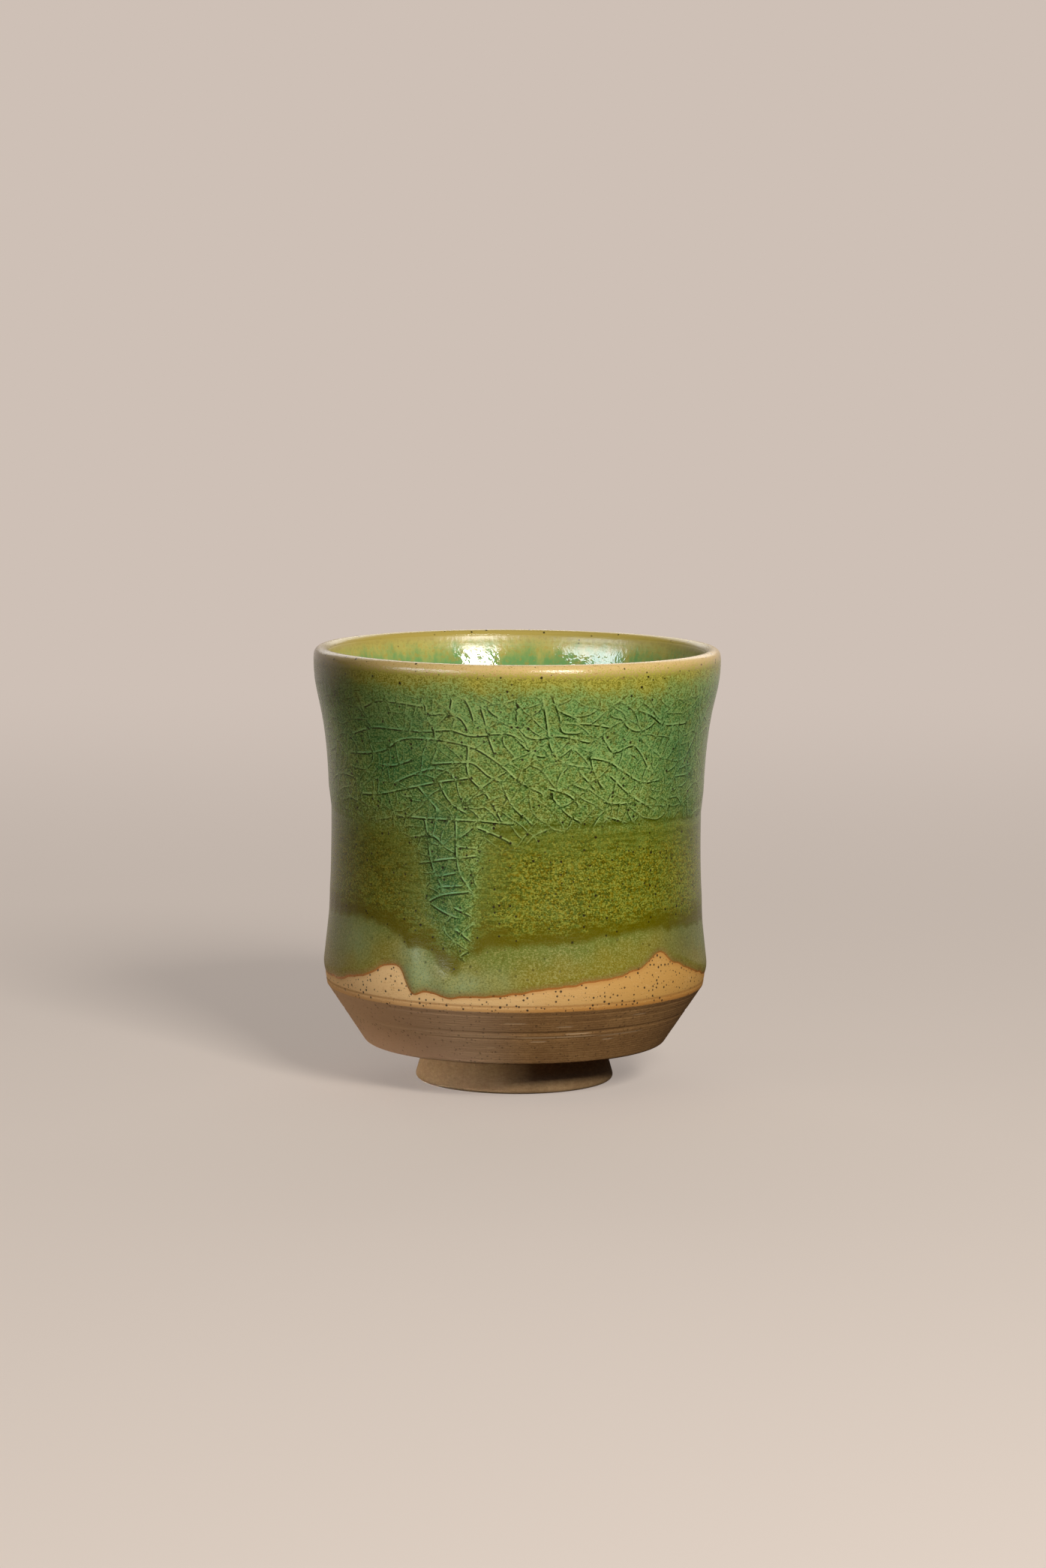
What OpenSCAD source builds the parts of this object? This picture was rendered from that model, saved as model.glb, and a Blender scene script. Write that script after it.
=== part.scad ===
// Yunomi tea cup: a thrown stoneware cup on a luted foot ring, lined with glaze and dipped in three more.
// Origin at the middle of the foot's resting face, +Z up. The long glaze run is on the -Y side.

/* [Clay cup] */
// Height of the lip above the table
cup_h = 88; // [76:0.5:110]
// Outer diameter of the clay at the lip
lip_d = 81.5; // [74:0.5:94]
// Thickness of the rounded lip
lip_t = 2.6; // [1.8:0.1:4]
// Outward lean of the wall at the lip, in degrees
lip_lean = 4; // [0:1:14]
// Height of the waist above the table
waist_h = 53; // [46:0.5:60]
// Outer diameter of the clay at the waist
waist_d = 73.9; // [66:0.1:80]
// Wall thickness at the waist
wall_t = 3.4; // [2.4:0.1:5]
// Height of the belly above the table
belly_h = 23.2; // [22:0.1:27]
// Outer diameter of the clay at the belly
belly_d = 77.4; // [72:0.1:86]
// Radius of the belly's turn, seen from the side
belly_round = 16; // [10:0.5:30]
// Inward lean of the wall just above the belly, in degrees
belly_lean = 6.5; // [2:0.5:12]
// Height of the trimmed edge under the belly
arris_h = 19.8; // [17:0.1:21]
// Height of the base edge, where the trimmed cone turns under
base_edge_h = 8; // [7.6:0.1:11]
// Diameter over the base edge, before it is softened
base_edge_d = 61; // [54:0.5:68]
// Radius that softens the base edge
base_edge_round = 1.2; // [0.4:0.1:2.5]
// Clay left in the floor
floor_t = 5.5; // [4:0.1:8]
// Radius where the inside wall turns into the floor
bowl_round = 17; // [10:0.5:22]
// Wall thickness where that turn begins
low_wall_t = 4.2; // [3:0.1:6]

/* [Foot ring] */
// Height of the foot's upper face above the table
foot_h = 6.6; // [4.5:0.1:7]
// Diameter over the foot at the table, before its edge is softened
foot_d = 40.8; // [34:0.2:46]
// Diameter of the foot at its neck
foot_neck_d = 37; // [30:0.2:40]
// Thickness of the ring
foot_wall = 5; // [3.5:0.1:7]
// Radius that softens the foot's lower edges
foot_edge_round = 0.8; // [0.3:0.1:1.4]
// Thickness of the slip that lutes the foot to the cup
slip_t = 0.4; // [0.2:0.05:0.8]
// Width of slip squeezed out on each side of the seam
slip_squeeze = 0.6; // [0.2:0.1:1.2]

/* [Glaze] */
// Thickness of the pale base glaze
base_glaze_t = 0.3; // [0.15:0.05:0.6]
// Thickness of the olive glaze over it
olive_glaze_t = 0.2; // [0.1:0.05:0.5]
// Thickness of the crackled glaze on top
crackle_glaze_t = 0.3; // [0.15:0.05:0.6]
// Thickness of the lining glaze
lining_t = 0.4; // [0.2:0.05:0.8]
// Extra depth of lining glaze pooled on the floor
pool_t = 0.5; // [0:0.1:1.5]
// Mean height of the base glaze's hem
base_hem_h = 24; // [22:0.5:30]
// Rise of the base hem's waves, about its mean
base_hem_rise = 4; // [0:0.5:6]
// Mean height of the olive glaze's edge
olive_hem_h = 33.5; // [30:0.5:44]
// Fall of the olive glaze's longest drip
olive_hem_drip = 7; // [0:0.5:9]
// Height to which the crackled glaze was dipped
crackle_hem_h = 56.5; // [48:0.5:70]
// Fall of the run in the crackled glaze
crackle_run = 25; // [0:1:30]
// Depth under the lip in which the glazes thin out
lip_fade = 8; // [3:0.5:14]
// Depth of the rounded bead at a glaze's hem
hem_bead = 1.6; // [0.6:0.1:3]

/* [Hidden] */
$fn = 96;

// Clearance between a glaze and what it covers
bond = 0.05;
// Trimmed flat land under the cup, beyond the foot's neck on each side
land_margin = 1.6;
// Rise of the underside from the land to the middle of the foot's recess
recess_dish = 0.6;

// Steps along each curve of the outlines
curve_steps = 18;
turn_steps = 10;
// Columns around a dipped glaze, rows that all of them share under the lip, and rows of each one below those
columns = 90;
shared_rows = 6;
base_rows = 9;
olive_rows = 5;
crackle_rows = 4;
// How the rows gather towards the ends of their stretch
row_gather = 1.5;

// Shares of a curve's height that its end handles take
flare_waist_share = 0.7;
flare_lip_share = 0.24;
wall_waist_share = 0.48;
wall_belly_share = 0.42;
// Share of a glaze's thickness left at its hem, and at the lip
hem_share = 0.2;
lip_share = 0.3;

// Hem of the base glaze: angle from +X, and share of the hem's rise
base_hem_shares = [
    [0, -0.4], [20, -0.25], [45, 0.5], [62, 0.8], [80, 0.25], [95, -0.4], [112, -0.1], [135, 0.4],
    [156, 0.75], [170, 0.2], [186, -0.4], [205, -0.3], [217, 0.15], [227, 1.0], [232, 1.0], [236, 0.1],
    [239, -0.25], [243, -0.15], [250, -0.5], [256, -0.3], [262, -0.33], [275, 0], [290, 0.3], [304, 0.55],
    [313, 0.95], [319.5, 1.75], [324, 0.95], [331, 0.5], [341, 0], [351, -0.38]
];
// Edge of the olive glaze: angle from +X, and share of its longest drip
olive_hem_shares = [
    [0, 0], [30, 0.2], [60, -0.1], [85, 0.25], [110, 0.1], [140, -0.25], [165, 0.1], [190, 0.25],
    [214, 0.36], [225, 0.3], [230, 0.15], [234, -0.12], [237, -0.26], [241, -0.2], [245, -0.35], [248, -0.75],
    [251, -1.1], [253, -0.85], [255, -0.5], [259, -0.28], [268, -0.1], [290, 0], [312, 0.17], [326, 0.1],
    [343, 0.03]
];
// Dip line of the crackled glaze: angle from +X, and share of its run
crackle_hem_shares = [
    [0, -0.02], [40, 0.02], [75, -0.02], [100, -0.06], [120, -0.01], [160, 0.02], [195, -0.02], [225, -0.02],
    [232, -0.05], [236, -0.12], [241, -0.35], [243, -0.54], [246, -0.8], [250, -0.92], [255, -1.05],
    [257, -0.95], [258.5, -0.3], [261, -0.05], [272, 0.01], [300, 0.02], [330, 0], [339, -0.03]
];
// Half the angle over which a hem is smoothed
hem_smooth_angle = 1.5;

// Radii and heights taken from the sizes above
waist_r = waist_d / 2;
belly_r = belly_d / 2;
lip_round = lip_t / 2;
lip_middle = [lip_d / 2 - lip_round, cup_h - lip_round];
land_h = foot_h + slip_t;
floor_h = land_h + recess_dish + floor_t;
bowl_h = floor_h + bowl_round;
foot_neck_r = foot_neck_d / 2;
foot_neck_bore_r = foot_neck_r - foot_wall;
land_out_r = foot_neck_r + slip_squeeze + land_margin;
land_in_r = foot_neck_bore_r - slip_squeeze - land_margin;

// Curves and corners
function mix(a, b, t) = a + (b - a) * t;
function along(angle) = [cos(angle), sin(angle)];
function cubic(p, q, r, s, t) =
    pow(1 - t, 3) * p + 3 * t * pow(1 - t, 2) * q + 3 * pow(t, 2) * (1 - t) * r + pow(t, 3) * s;
function curve(p, q, r, s) = [for (i = [0:curve_steps]) cubic(p, q, r, s, i / curve_steps)];
function arc(middle, radius, from, to) =
    [for (i = [0:turn_steps]) middle + radius * along(mix(from, to, i / turn_steps))];
function skip_first(list) = [for (i = [1:len(list) - 1]) list[i]];
function unit(v) = v / norm(v);

// A corner at q between p and s, rounded to the radius given
function soft_corner(p, q, s, radius) =
    let (
        back = unit(p - q),
        on = unit(s - q),
        half = acos(back * on) / 2,
        middle = q + unit(back + on) * radius / sin(half),
        first = q + back * radius / tan(half) - middle,
        last = q + on * radius / tan(half) - middle,
        from = atan2(first[1], first[0]),
        sweep = atan2(last[1], last[0]) - from,
        to = from + sweep - 360 * round(sweep / 360)
    )
    arc(middle, radius, from, to);

// Outside of the cup, from the arris up to the lip
belly_middle = [belly_r - belly_round, belly_h];
arris_turn = asin((belly_h - arris_h) / belly_round);
arris = belly_middle + belly_round * along(-arris_turn);
belly_top = belly_middle + belly_round * along(belly_lean);
waist = [waist_r, waist_h];
lip_out = lip_middle + lip_round * along(-lip_lean);
lip_in = lip_middle - lip_round * along(-lip_lean);
lip_rise = [sin(lip_lean), cos(lip_lean)];
belly_rise = [-sin(belly_lean), cos(belly_lean)];

belly_turn = arc(belly_middle, belly_round, -arris_turn, belly_lean);
lower_wall = curve(
    belly_top,
    belly_top + belly_rise * wall_belly_share * (waist_h - belly_top[1]),
    waist - [0, wall_waist_share * (waist_h - belly_top[1])],
    waist
);
flare = curve(
    waist,
    waist + [0, flare_waist_share * (lip_out[1] - waist_h)],
    lip_out - lip_rise * flare_lip_share * (lip_out[1] - waist_h),
    lip_out
);
outside = concat(belly_turn, skip_first(lower_wall), skip_first(flare));
lip_turn = arc(lip_middle, lip_round, -lip_lean, 180 - lip_lean);

// Underside, from the recess out to the arris
base_edge = [base_edge_d / 2, base_edge_h];
land_out = [land_out_r, land_h];
underside = concat(
    [[0, land_h + recess_dish], [land_in_r, land_h], land_out],
    soft_corner(land_out, base_edge, arris, base_edge_round)
);

// Radius of the clay's outside at a height, along the wall and the trimmed cone
clay_table = [for (p = concat([base_edge], outside)) [p[1], p[0]]];
function clay_r(z) = lookup(z, clay_table);

// Inside of the cup, from the lip down to the middle of the floor
inner_waist = [waist_r - wall_t, waist_h];
bowl_r = clay_r(bowl_h) - low_wall_t;
inner_flare = curve(
    lip_in,
    lip_in - lip_rise * flare_lip_share * (lip_in[1] - waist_h),
    inner_waist + [0, flare_waist_share * (lip_in[1] - waist_h)],
    inner_waist
);
inner_wall = curve(
    inner_waist,
    mix(inner_waist, [inner_waist[0], bowl_h], wall_waist_share),
    mix([bowl_r, bowl_h], [bowl_r, waist_h], wall_belly_share),
    [bowl_r, bowl_h]
);
bowl_turn = arc([bowl_r - bowl_round, bowl_h], bowl_round, 0, -90);
inside = concat(inner_flare, skip_first(inner_wall), skip_first(bowl_turn), [[0, floor_h]]);

// Hems that wander around the cup
function mean(values) = values * [for (v = values) 1] / len(values);
function all_round(table) = [for (turn = [-1:1]) for (row = table) [row[0] + turn * 360, row[1]]];
function hem_share_at(angle, table) =
    mean([for (d = [-1:0.5:1]) lookup(angle + d * hem_smooth_angle, all_round(table))]);
column_angles = [for (c = [0:columns - 1]) c * 360 / columns];
base_hem = [for (a = column_angles) base_hem_h + base_hem_rise * hem_share_at(a, base_hem_shares)];
olive_hem = [for (a = column_angles) olive_hem_h + olive_hem_drip * hem_share_at(a, olive_hem_shares)];
crackle_hem = [for (a = column_angles) crackle_hem_h + crackle_run * hem_share_at(a, crackle_hem_shares)];

// A glaze's thickness at a height: nothing below its hem, a rounded bead above it, thin again at the lip
glaze_top = lip_out[1];
function within(x) = min(max(x, 0), 1);
function lip_thinning(z) = mix(lip_share, 1, sin(90 * within((glaze_top - z) / lip_fade)));
function bead(z, hem) = mix(hem_share, 1, sqrt(1 - pow(1 - within((z - hem) / hem_bead), 2)));
function coat(z, hem, thickness) = thickness * lip_thinning(z) * bead(z, hem);

// Heights of a glaze's rows: its own from the hem up, then those that lie on each other in every glaze
shared_h = max(crackle_hem) + hem_bead;
function gathered(u) = mix(pow(u, row_gather), 1 - pow(1 - u, row_gather), u);
function stretch(low, high, rows) = [for (row = [0:rows]) mix(low, high, gathered(row / rows))];
shared_levels = stretch(shared_h, glaze_top, shared_rows);
function levels(hem, rows) = concat(stretch(hem, shared_h, rows), skip_first(shared_levels));

// Outside of a glaze over what lies under it: height and radius of each row, column by column
function skin(under, hems, rows, thickness) = [
    for (c = [0:columns - 1])
        [for (z = levels(hems[c], rows)) [z, under(c, z) + bond + coat(z, hems[c], thickness)]]
];
facet_gain = 1 / cos(180 / columns);
under_base = function (c, z) clay_r(z) * facet_gain;
base_skin = skin(under_base, base_hem, base_rows, base_glaze_t);
under_olive = function (c, z) z < base_hem[c] ? under_base(c, z) : lookup(z, base_skin[c]);
olive_skin = skin(under_olive, olive_hem, olive_rows, olive_glaze_t);
under_crackle = function (c, z) z < olive_hem[c] ? under_olive(c, z) : lookup(z, olive_skin[c]);
crackle_skin = skin(under_crackle, crackle_hem, crackle_rows, crackle_glaze_t);

function around(radius, c, z) = [radius * cos(column_angles[c]), radius * sin(column_angles[c]), z];

// A dipped glaze: a closed shell from its skin to what lies under it, between its wandering hem and the lip
module dipped_shell(outer, under) {
    rows = len(outer[0]) - 1;
    ring = 2 * (rows + 1);
    points = [
        for (c = [0:columns - 1])
            each concat(
                [for (p = outer[c]) around(under(c, p[0]) + bond, c, p[0])],
                [for (i = [0:rows]) around(outer[c][rows - i][1], c, outer[c][rows - i][0])]
            )
    ];
    faces = [
        for (c = [0:columns - 1])
            for (i = [0:ring - 1])
                let (
                    on = (c + 1) % columns,
                    j = (i + 1) % ring,
                    here = c * ring,
                    next = on * ring
                )
                each [[here + i, next + j, next + i], [here + i, here + j, next + j]]
    ];
    polyhedron(points, faces, convexity = 4);
}

// Thrown and trimmed body of the cup, with its rounded lip, belly, arris and hollow
module clay_cup() {
    color("#b79a6c")
        rotate_extrude()
            polygon(concat(underside, outside, skip_first(lip_turn), skip_first(inside)));
}

// Slip that lutes the foot ring to the land, squeezed out a little on both sides
module foot_slip() {
    middle_h = foot_h + slip_t / 2;
    out_r = foot_neck_r + slip_squeeze - slip_t / 2;
    in_r = foot_neck_bore_r - slip_squeeze + slip_t / 2;
    color("#8d7350")
        rotate_extrude()
            polygon(concat(
                arc([out_r, middle_h], slip_t / 2, -90, 90),
                arc([in_r, middle_h], slip_t / 2, 90, 270)
            ));
}

// Flared foot ring with softened lower edges and a flat face to rest on
module foot_ring() {
    foot_r = foot_d / 2;
    top_out = [foot_neck_r, foot_h];
    top_in = [foot_neck_bore_r, foot_h];
    low_out = [foot_r, 0];
    low_in = [foot_r - foot_wall, 0];
    color("#8a7258")
        rotate_extrude()
            polygon(concat(
                [top_in],
                soft_corner(top_in, low_in, low_out, foot_edge_round),
                soft_corner(low_in, low_out, top_out, foot_edge_round),
                [top_out]
            ));
}

// Glaze that lines the inside, thin at the lip and pooled on the floor
module lining_glaze() {
    last = len(inside) - 1;
    ways = [for (i = [0:last]) unit(inside[min(i + 1, last)] - inside[max(i - 1, 0)])];
    inward = [for (w = ways) [w[1], -w[0]]];
    pool = [for (p = inside) pool_t * pow(within((bowl_h - p[1]) / bowl_round), 2)];
    back = [for (i = [0:last - 1]) inside[i] + inward[i] * bond];
    front = [
        for (i = [0:last - 1])
            inside[i] + inward[i] * (bond + lining_t * lip_thinning(inside[i][1]) + pool[i])
    ];
    floor_back = [0, floor_h + bond];
    floor_front = [0, floor_h + bond + lining_t + pool_t];
    color("#7d8f4a")
        rotate_extrude()
            polygon(concat(back, [floor_back, floor_front], [for (i = [0:last - 1]) front[last - 1 - i]]));
}

// First dip: the pale glaze with the wandering hem
module base_glaze() {
    color("#7f8550")
        dipped_shell(base_skin, under_base);
}

// Second dip: the olive glaze, which dripped under the run
module olive_glaze() {
    color("#66681f")
        dipped_shell(olive_skin, under_olive);
}

// Third dip: the thick green glaze that crackled and ran
module crackle_glaze() {
    color("#5f7d3e")
        dipped_shell(crackle_skin, under_crackle);
}

clay_cup();
foot_slip();
foot_ring();
lining_glaze();
base_glaze();
olive_glaze();
crackle_glaze();
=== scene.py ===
import math

import bpy
import numpy as np
from mathutils import Matrix, Vector, geometry, kdtree


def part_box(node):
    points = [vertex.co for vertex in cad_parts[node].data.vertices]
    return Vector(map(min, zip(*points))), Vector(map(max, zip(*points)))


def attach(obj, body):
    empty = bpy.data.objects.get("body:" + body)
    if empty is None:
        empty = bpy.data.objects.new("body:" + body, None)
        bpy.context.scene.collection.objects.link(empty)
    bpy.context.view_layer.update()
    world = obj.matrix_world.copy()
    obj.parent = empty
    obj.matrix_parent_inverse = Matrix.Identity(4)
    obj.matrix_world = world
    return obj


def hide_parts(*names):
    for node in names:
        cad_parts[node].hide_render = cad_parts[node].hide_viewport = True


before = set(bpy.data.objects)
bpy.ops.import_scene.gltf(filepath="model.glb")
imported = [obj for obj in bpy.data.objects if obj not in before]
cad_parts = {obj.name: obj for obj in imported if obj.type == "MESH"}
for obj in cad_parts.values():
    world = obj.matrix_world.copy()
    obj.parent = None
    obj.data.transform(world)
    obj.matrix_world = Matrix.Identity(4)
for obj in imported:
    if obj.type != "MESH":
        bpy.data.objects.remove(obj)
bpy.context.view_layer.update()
mm = 0.001  # lengths below are in millimetres, angles in degrees from +X towards +Y
seed = 12
draw = np.random.default_rng(seed)
scene = bpy.context.scene
scene.view_settings.view_transform = "Standard"


# camera, as the photograph was taken
photoCamera = {"place": (0, -920, 172.6), "pitch": -6.96, "turn": -0.085, "roll": 0.4, "lens": 104.7,
               "film": 36, "nearest": 10}


def placeCamera(setup):
    camera = bpy.data.objects.new("photoCamera", bpy.data.cameras.new("photoCamera"))
    scene.collection.objects.link(camera)
    turn = Matrix.Rotation(math.radians(setup["turn"]), 4, "Z")
    pitch = Matrix.Rotation(math.radians(90 + setup["pitch"]), 4, "X")
    roll = Matrix.Rotation(math.radians(setup["roll"]), 4, "Z")
    camera.matrix_world = Matrix.Translation(Vector(setup["place"]) * mm) @ turn @ pitch @ roll
    camera.data.lens = setup["lens"]
    camera.data.sensor_width = setup["film"]
    camera.data.clip_start = setup["nearest"] * mm
    scene.camera = camera


placeCamera(photoCamera)


# curves
def spaced(points, gap):
    kept = [points[0]]
    for point in points[1:]:
        if np.hypot(*(point - kept[-1])) >= gap:
            kept.append(point)
    return np.array(kept)


def runAlong(points):  # length of a line from its first point to each of its points
    return np.append(0, np.cumsum(np.hypot(*np.diff(points, axis=0).T)))


def stretches(*parts):  # start, end and count of evenly spaced runs, joined without repeating their ends
    runs = [np.linspace(*part) for part in parts]
    return np.concatenate(runs[:1] + [run[1:] for run in runs[1:]])


def smoothThrough(at, knots, values):  # cubic through the knots
    slopes = np.gradient(values, knots)
    i = np.clip(np.searchsorted(knots, at) - 1, 0, len(knots) - 2)
    gap = knots[i + 1] - knots[i]
    t = (at - knots[i]) / gap
    rise = values[i + 1] - values[i]
    bend = (slopes[i] * gap - rise) * (1 - t) + (rise - slopes[i + 1] * gap) * t
    return values[i] + t * rise + t * (1 - t) * bend


def smoothStep(value, low, high):
    t = np.clip((value - low) / (high - low), 0, 1)
    return t * t * (3 - 2 * t)


# lines of the cup, read from the frame
lineSearch = {"slack": 0.05, "level": 0.02, "touch": 0.01, "skin": 1.0, "nearby": 2.5, "wallDepth": 1.2,
              "floorRings": 9, "upperGap": 0.3, "underGap": 0.1}  # how rings of the clay are told apart
profileStep = 0.1


def nodeSpots(node):  # radius, height and angle of every vertex
    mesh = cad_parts[node].data
    spots = np.empty(3 * len(mesh.vertices), np.float32)
    mesh.vertices.foreach_get("co", spots)
    x, y, z = spots.reshape(-1, 3).T.astype(float) / mm
    return np.column_stack((np.hypot(x, y), z, np.degrees(np.arctan2(y, x)) % 360))


def nodeRings(node):  # radius and height of each ring of a turned node
    return np.unique(nodeSpots(node)[:, :2].round(2), axis=0)


def cupLines(search):
    rings = nodeRings("clay_cup")
    radius, height = rings.T
    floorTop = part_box("lining_glaze")[0].z / mm - search["slack"]
    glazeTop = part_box("base_glaze")[1].z / mm
    aboveFloor, belowFloor = height > floorTop - search["slack"], height < floorTop - search["slack"]
    belowLip = height < glazeTop - search["level"]
    belly = radius[height < glazeTop / 2].max()
    arris = min(rings[radius > belly - search["skin"]], key=lambda ring: ring[1])
    baseEdge = max(rings[belowFloor], key=lambda ring: ring[0])
    lip = rings[height > glazeTop - search["level"]]
    lipMiddle = lip[:, 0].min() / 2 + lip[:, 0].max() / 2
    lip = lip[np.argsort(np.arctan2(lip[:, 1] - glazeTop, lip[:, 0] - lipMiddle))]
    middle = rings[(height > arris[1] - search["touch"]) & belowLip]
    near = abs(middle[:, 1, None] - height) < search["nearby"]
    outer = middle[middle[:, 0] > np.where(near, radius, 0).max(1) - search["wallDepth"]]
    outer = outer[np.argsort(outer[:, 1])]
    cone = np.interp(height, (baseEdge[1], arris[1]), (baseEdge[0], arris[0]))
    wall = np.where(height < arris[1], cone, np.interp(height, outer[:, 1], outer[:, 0]))
    inner = rings[aboveFloor & belowLip & (radius < wall - search["skin"])]
    inner = inner[np.lexsort((-inner[:, 0], -inner[:, 1]))]
    under = rings[(height < arris[1] + search["touch"]) & (belowFloor | (radius > wall - search["skin"]))]
    under = under[np.argsort(under[:, 0])]
    floor = np.linspace(inner[-1], (0, inner[-1][1]), search["floorRings"])[1:]
    upper = spaced(np.vstack((outer, lip, inner, floor)), search["upperGap"])
    return spaced(under, search["underGap"]), upper, arris, glazeTop, floorTop


underLine, upperLine, arris, glazeTop, floorTop = cupLines(lineSearch)
upperKnots = runAlong(upperLine)
profileAlong = np.arange(0, upperKnots[-1], profileStep)
profileR = smoothThrough(profileAlong, upperKnots, upperLine[:, 0])
profileZ = smoothThrough(profileAlong, upperKnots, upperLine[:, 1])
slopeR, slopeZ = np.gradient(profileR, profileStep), np.gradient(profileZ, profileStep)
normalR, normalZ = slopeZ / np.hypot(slopeR, slopeZ), -slopeR / np.hypot(slopeR, slopeZ)
lipStart = int(np.argmax(profileZ > glazeTop))  # where the wall's outside meets the lip
lipHigh = lipStart + int(np.argmax(profileZ[lipStart:]))
lipEnd = lipHigh + int(np.argmax(profileZ[lipHigh:] < glazeTop))
lipLength = (lipEnd - lipStart) * profileStep
print("cup lines read: arris", arris.round(2), "lip from", round(glazeTop, 2), "floor at", round(floorTop, 2))


# places on the wall
wallRadius = 38.2  # its mean
wallDegree = math.radians(wallRadius)  # length of one degree round the wall
hemColumns = 1440  # steps round the cup in which a hem is measured
hemSearch = 60  # steps to either side in which its nearest point is sought
hemRipples = (9, 18, 70)


def turnAngles(columns):
    return np.arange(columns) * 360 / columns


def spun(angle, radius, height):  # points turned round the axis
    turn = np.radians(angle)
    return np.stack(np.broadcast_arrays(radius * np.cos(turn), radius * np.sin(turn), height), axis=-1)


def turned(angle, along, offset):  # points of the outline, lifted off the clay
    lines = (profileR, profileZ, normalR, normalZ)
    radius, height, outward, upward = (np.interp(along, profileAlong, line) for line in lines)
    return spun(angle, np.maximum(radius + outward * offset, 0), height + upward * offset)


def wallAlong(level):  # length along the outline up to a height of the wall
    return np.interp(level, profileZ[:lipStart], profileAlong[:lipStart])


def wallPoint(angle, level, offset):  # level is the height, carried on past the lip's outside along its curve
    overLip = profileAlong[lipStart] + level - glazeTop
    return turned(angle, np.where(level < glazeTop, wallAlong(level), overLip), offset)


def ripples(count, low, high, climb=0.25):  # gentle waves round the cup, of about unit size
    waves = draw.integers(low, high, count)
    phases = draw.uniform(0, 2 * np.pi, count)
    climbs = draw.normal(0, climb, count)

    def sway(angle, level=0.0):
        turn = np.radians(angle)
        heights = (np.cos(k * turn + c * level + p) for k, c, p in zip(waves, climbs, phases))
        return sum(heights) / math.sqrt(count)

    return sway


def away(angle, middle):  # signed angle from a middle
    return (angle - middle + 180) % 360 - 180


def hump(angle, middle, reach):  # 1 at a middle, fading to both sides
    return np.exp(-(away(angle, middle) / reach) ** 2)


def patches(spots, angle, level):  # each with angle, height, reach round the cup, reach up and down, strength
    return sum(s * np.exp(-(away(angle, a) / w) ** 2 - ((level - z) / h) ** 2) for a, z, w, h, s in spots)


def hemLine(node, coat):  # height of a coat's lower edge, as the frame has it, with the coat's own strays
    spots = nodeSpots(node)
    columns = spots[:, 2].round() % 360
    knots = np.unique(columns)
    lows = np.array([spots[columns == knot, 1].min() for knot in knots])
    knots, lows = np.concatenate((knots - 360, knots, knots + 360)), np.tile(lows, 3)
    sway = ripples(*hemRipples)

    def hem(angle):
        level = smoothThrough(angle % 360, knots, lows) + coat["hemSway"] * sway(angle)
        for middle, lift, reach in coat["hemTouches"]:
            level = level + lift * hump(angle, middle, reach)
        return level

    return hem


def hemGap(hem, angle, level):  # distance from a hem along the wall, below it negative
    hemAngle = turnAngles(hemColumns)
    hemLevel = hem(hemAngle)
    nearest = np.full(np.shape(level), np.inf)
    column = np.round(angle / 360 * hemColumns).astype(int)
    for step in range(-hemSearch, hemSearch + 1):
        spot = (column + step) % hemColumns
        across = away(angle, hemAngle[spot]) * wallDegree
        nearest = np.minimum(nearest, across ** 2 + (level - hemLevel[spot]) ** 2)
    return np.sqrt(nearest) * np.where(level < hem(angle), -1, 1)


def below(hem, reach):  # a line that stays one distance under a hem, also where the hem is steep
    turn = turnAngles(hemColumns)
    level = hem(turn)
    widest = int(reach / wallDegree * hemColumns / 360)
    steps = range(-widest, widest + 1)
    drops = [np.sqrt(reach ** 2 - (step * 360 / hemColumns * wallDegree) ** 2) for step in steps]
    lows = np.min([np.roll(level, step) - drop for step, drop in zip(steps, drops)], axis=0)
    return lambda angle: np.interp(angle, turn, lows, period=360)


# meshes
def meshFrom(name, points, faces, attributes):
    mesh = bpy.data.meshes.new(name)
    mesh.from_pydata((points * mm).tolist(), [], faces)
    for label, values in attributes.items():
        spread = np.broadcast_to(values, points.shape[:1])
        mesh.attributes.new(label, "FLOAT", "POINT").data.foreach_set("value", spread.astype(np.float32))
    mesh.shade_smooth()
    piece = bpy.data.objects.new(name, mesh)
    scene.collection.objects.link(piece)
    return piece


def turnedMesh(name, rows, attributes, poles=False):  # rows of points round the cup; poles shut the end rows
    attributes = {label: np.broadcast_to(v, rows.shape[:2]) for label, v in attributes.items()}
    if poles:
        ends = rows[[0, -1]].mean(1)
        rows = rows[1:-1]
        attributes = {label: v[1:-1] for label, v in attributes.items()}
    rowCount, columns = rows.shape[:2]
    index = np.arange(rowCount * columns).reshape(rowCount, columns)
    index = np.column_stack((index, index[:, 0]))
    index = index if poles else np.vstack((index, index[:1]))
    quads = np.stack((index[:-1, :-1], index[:-1, 1:], index[1:, 1:], index[1:, :-1]), axis=-1)
    points = rows.reshape(-1, 3)
    values = {label: v.reshape(-1) for label, v in attributes.items()}
    if not poles:
        return meshFrom(name, points, quads.reshape(-1, 4).tolist(), values)
    first, last = len(points), len(points) + 1
    points = np.vstack((points, ends))
    values = {label: np.append(v, (v[0], v[-1])) for label, v in values.items()}
    fans = [[first, b, a] for a, b in zip(index[0, :-1], index[0, 1:])]
    fans += [[last, a, b] for a, b in zip(index[-1, :-1], index[-1, 1:])]
    return meshFrom(name, points, quads.reshape(-1, 4).tolist() + np.array(fans).tolist(), values)


def dress(piece, node, material):
    piece.data.materials.append(material)
    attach(piece, "root")
    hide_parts(node)
    print("piece", piece.name, "with", len(piece.data.polygons), "faces")


# node trees
def feed(tree, node, inputs):
    for name, value in inputs.items():
        if isinstance(value, bpy.types.NodeSocket):
            tree.links.new(value, node.inputs[name])
        else:
            node.inputs[name].default_value = value
    return node


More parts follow.
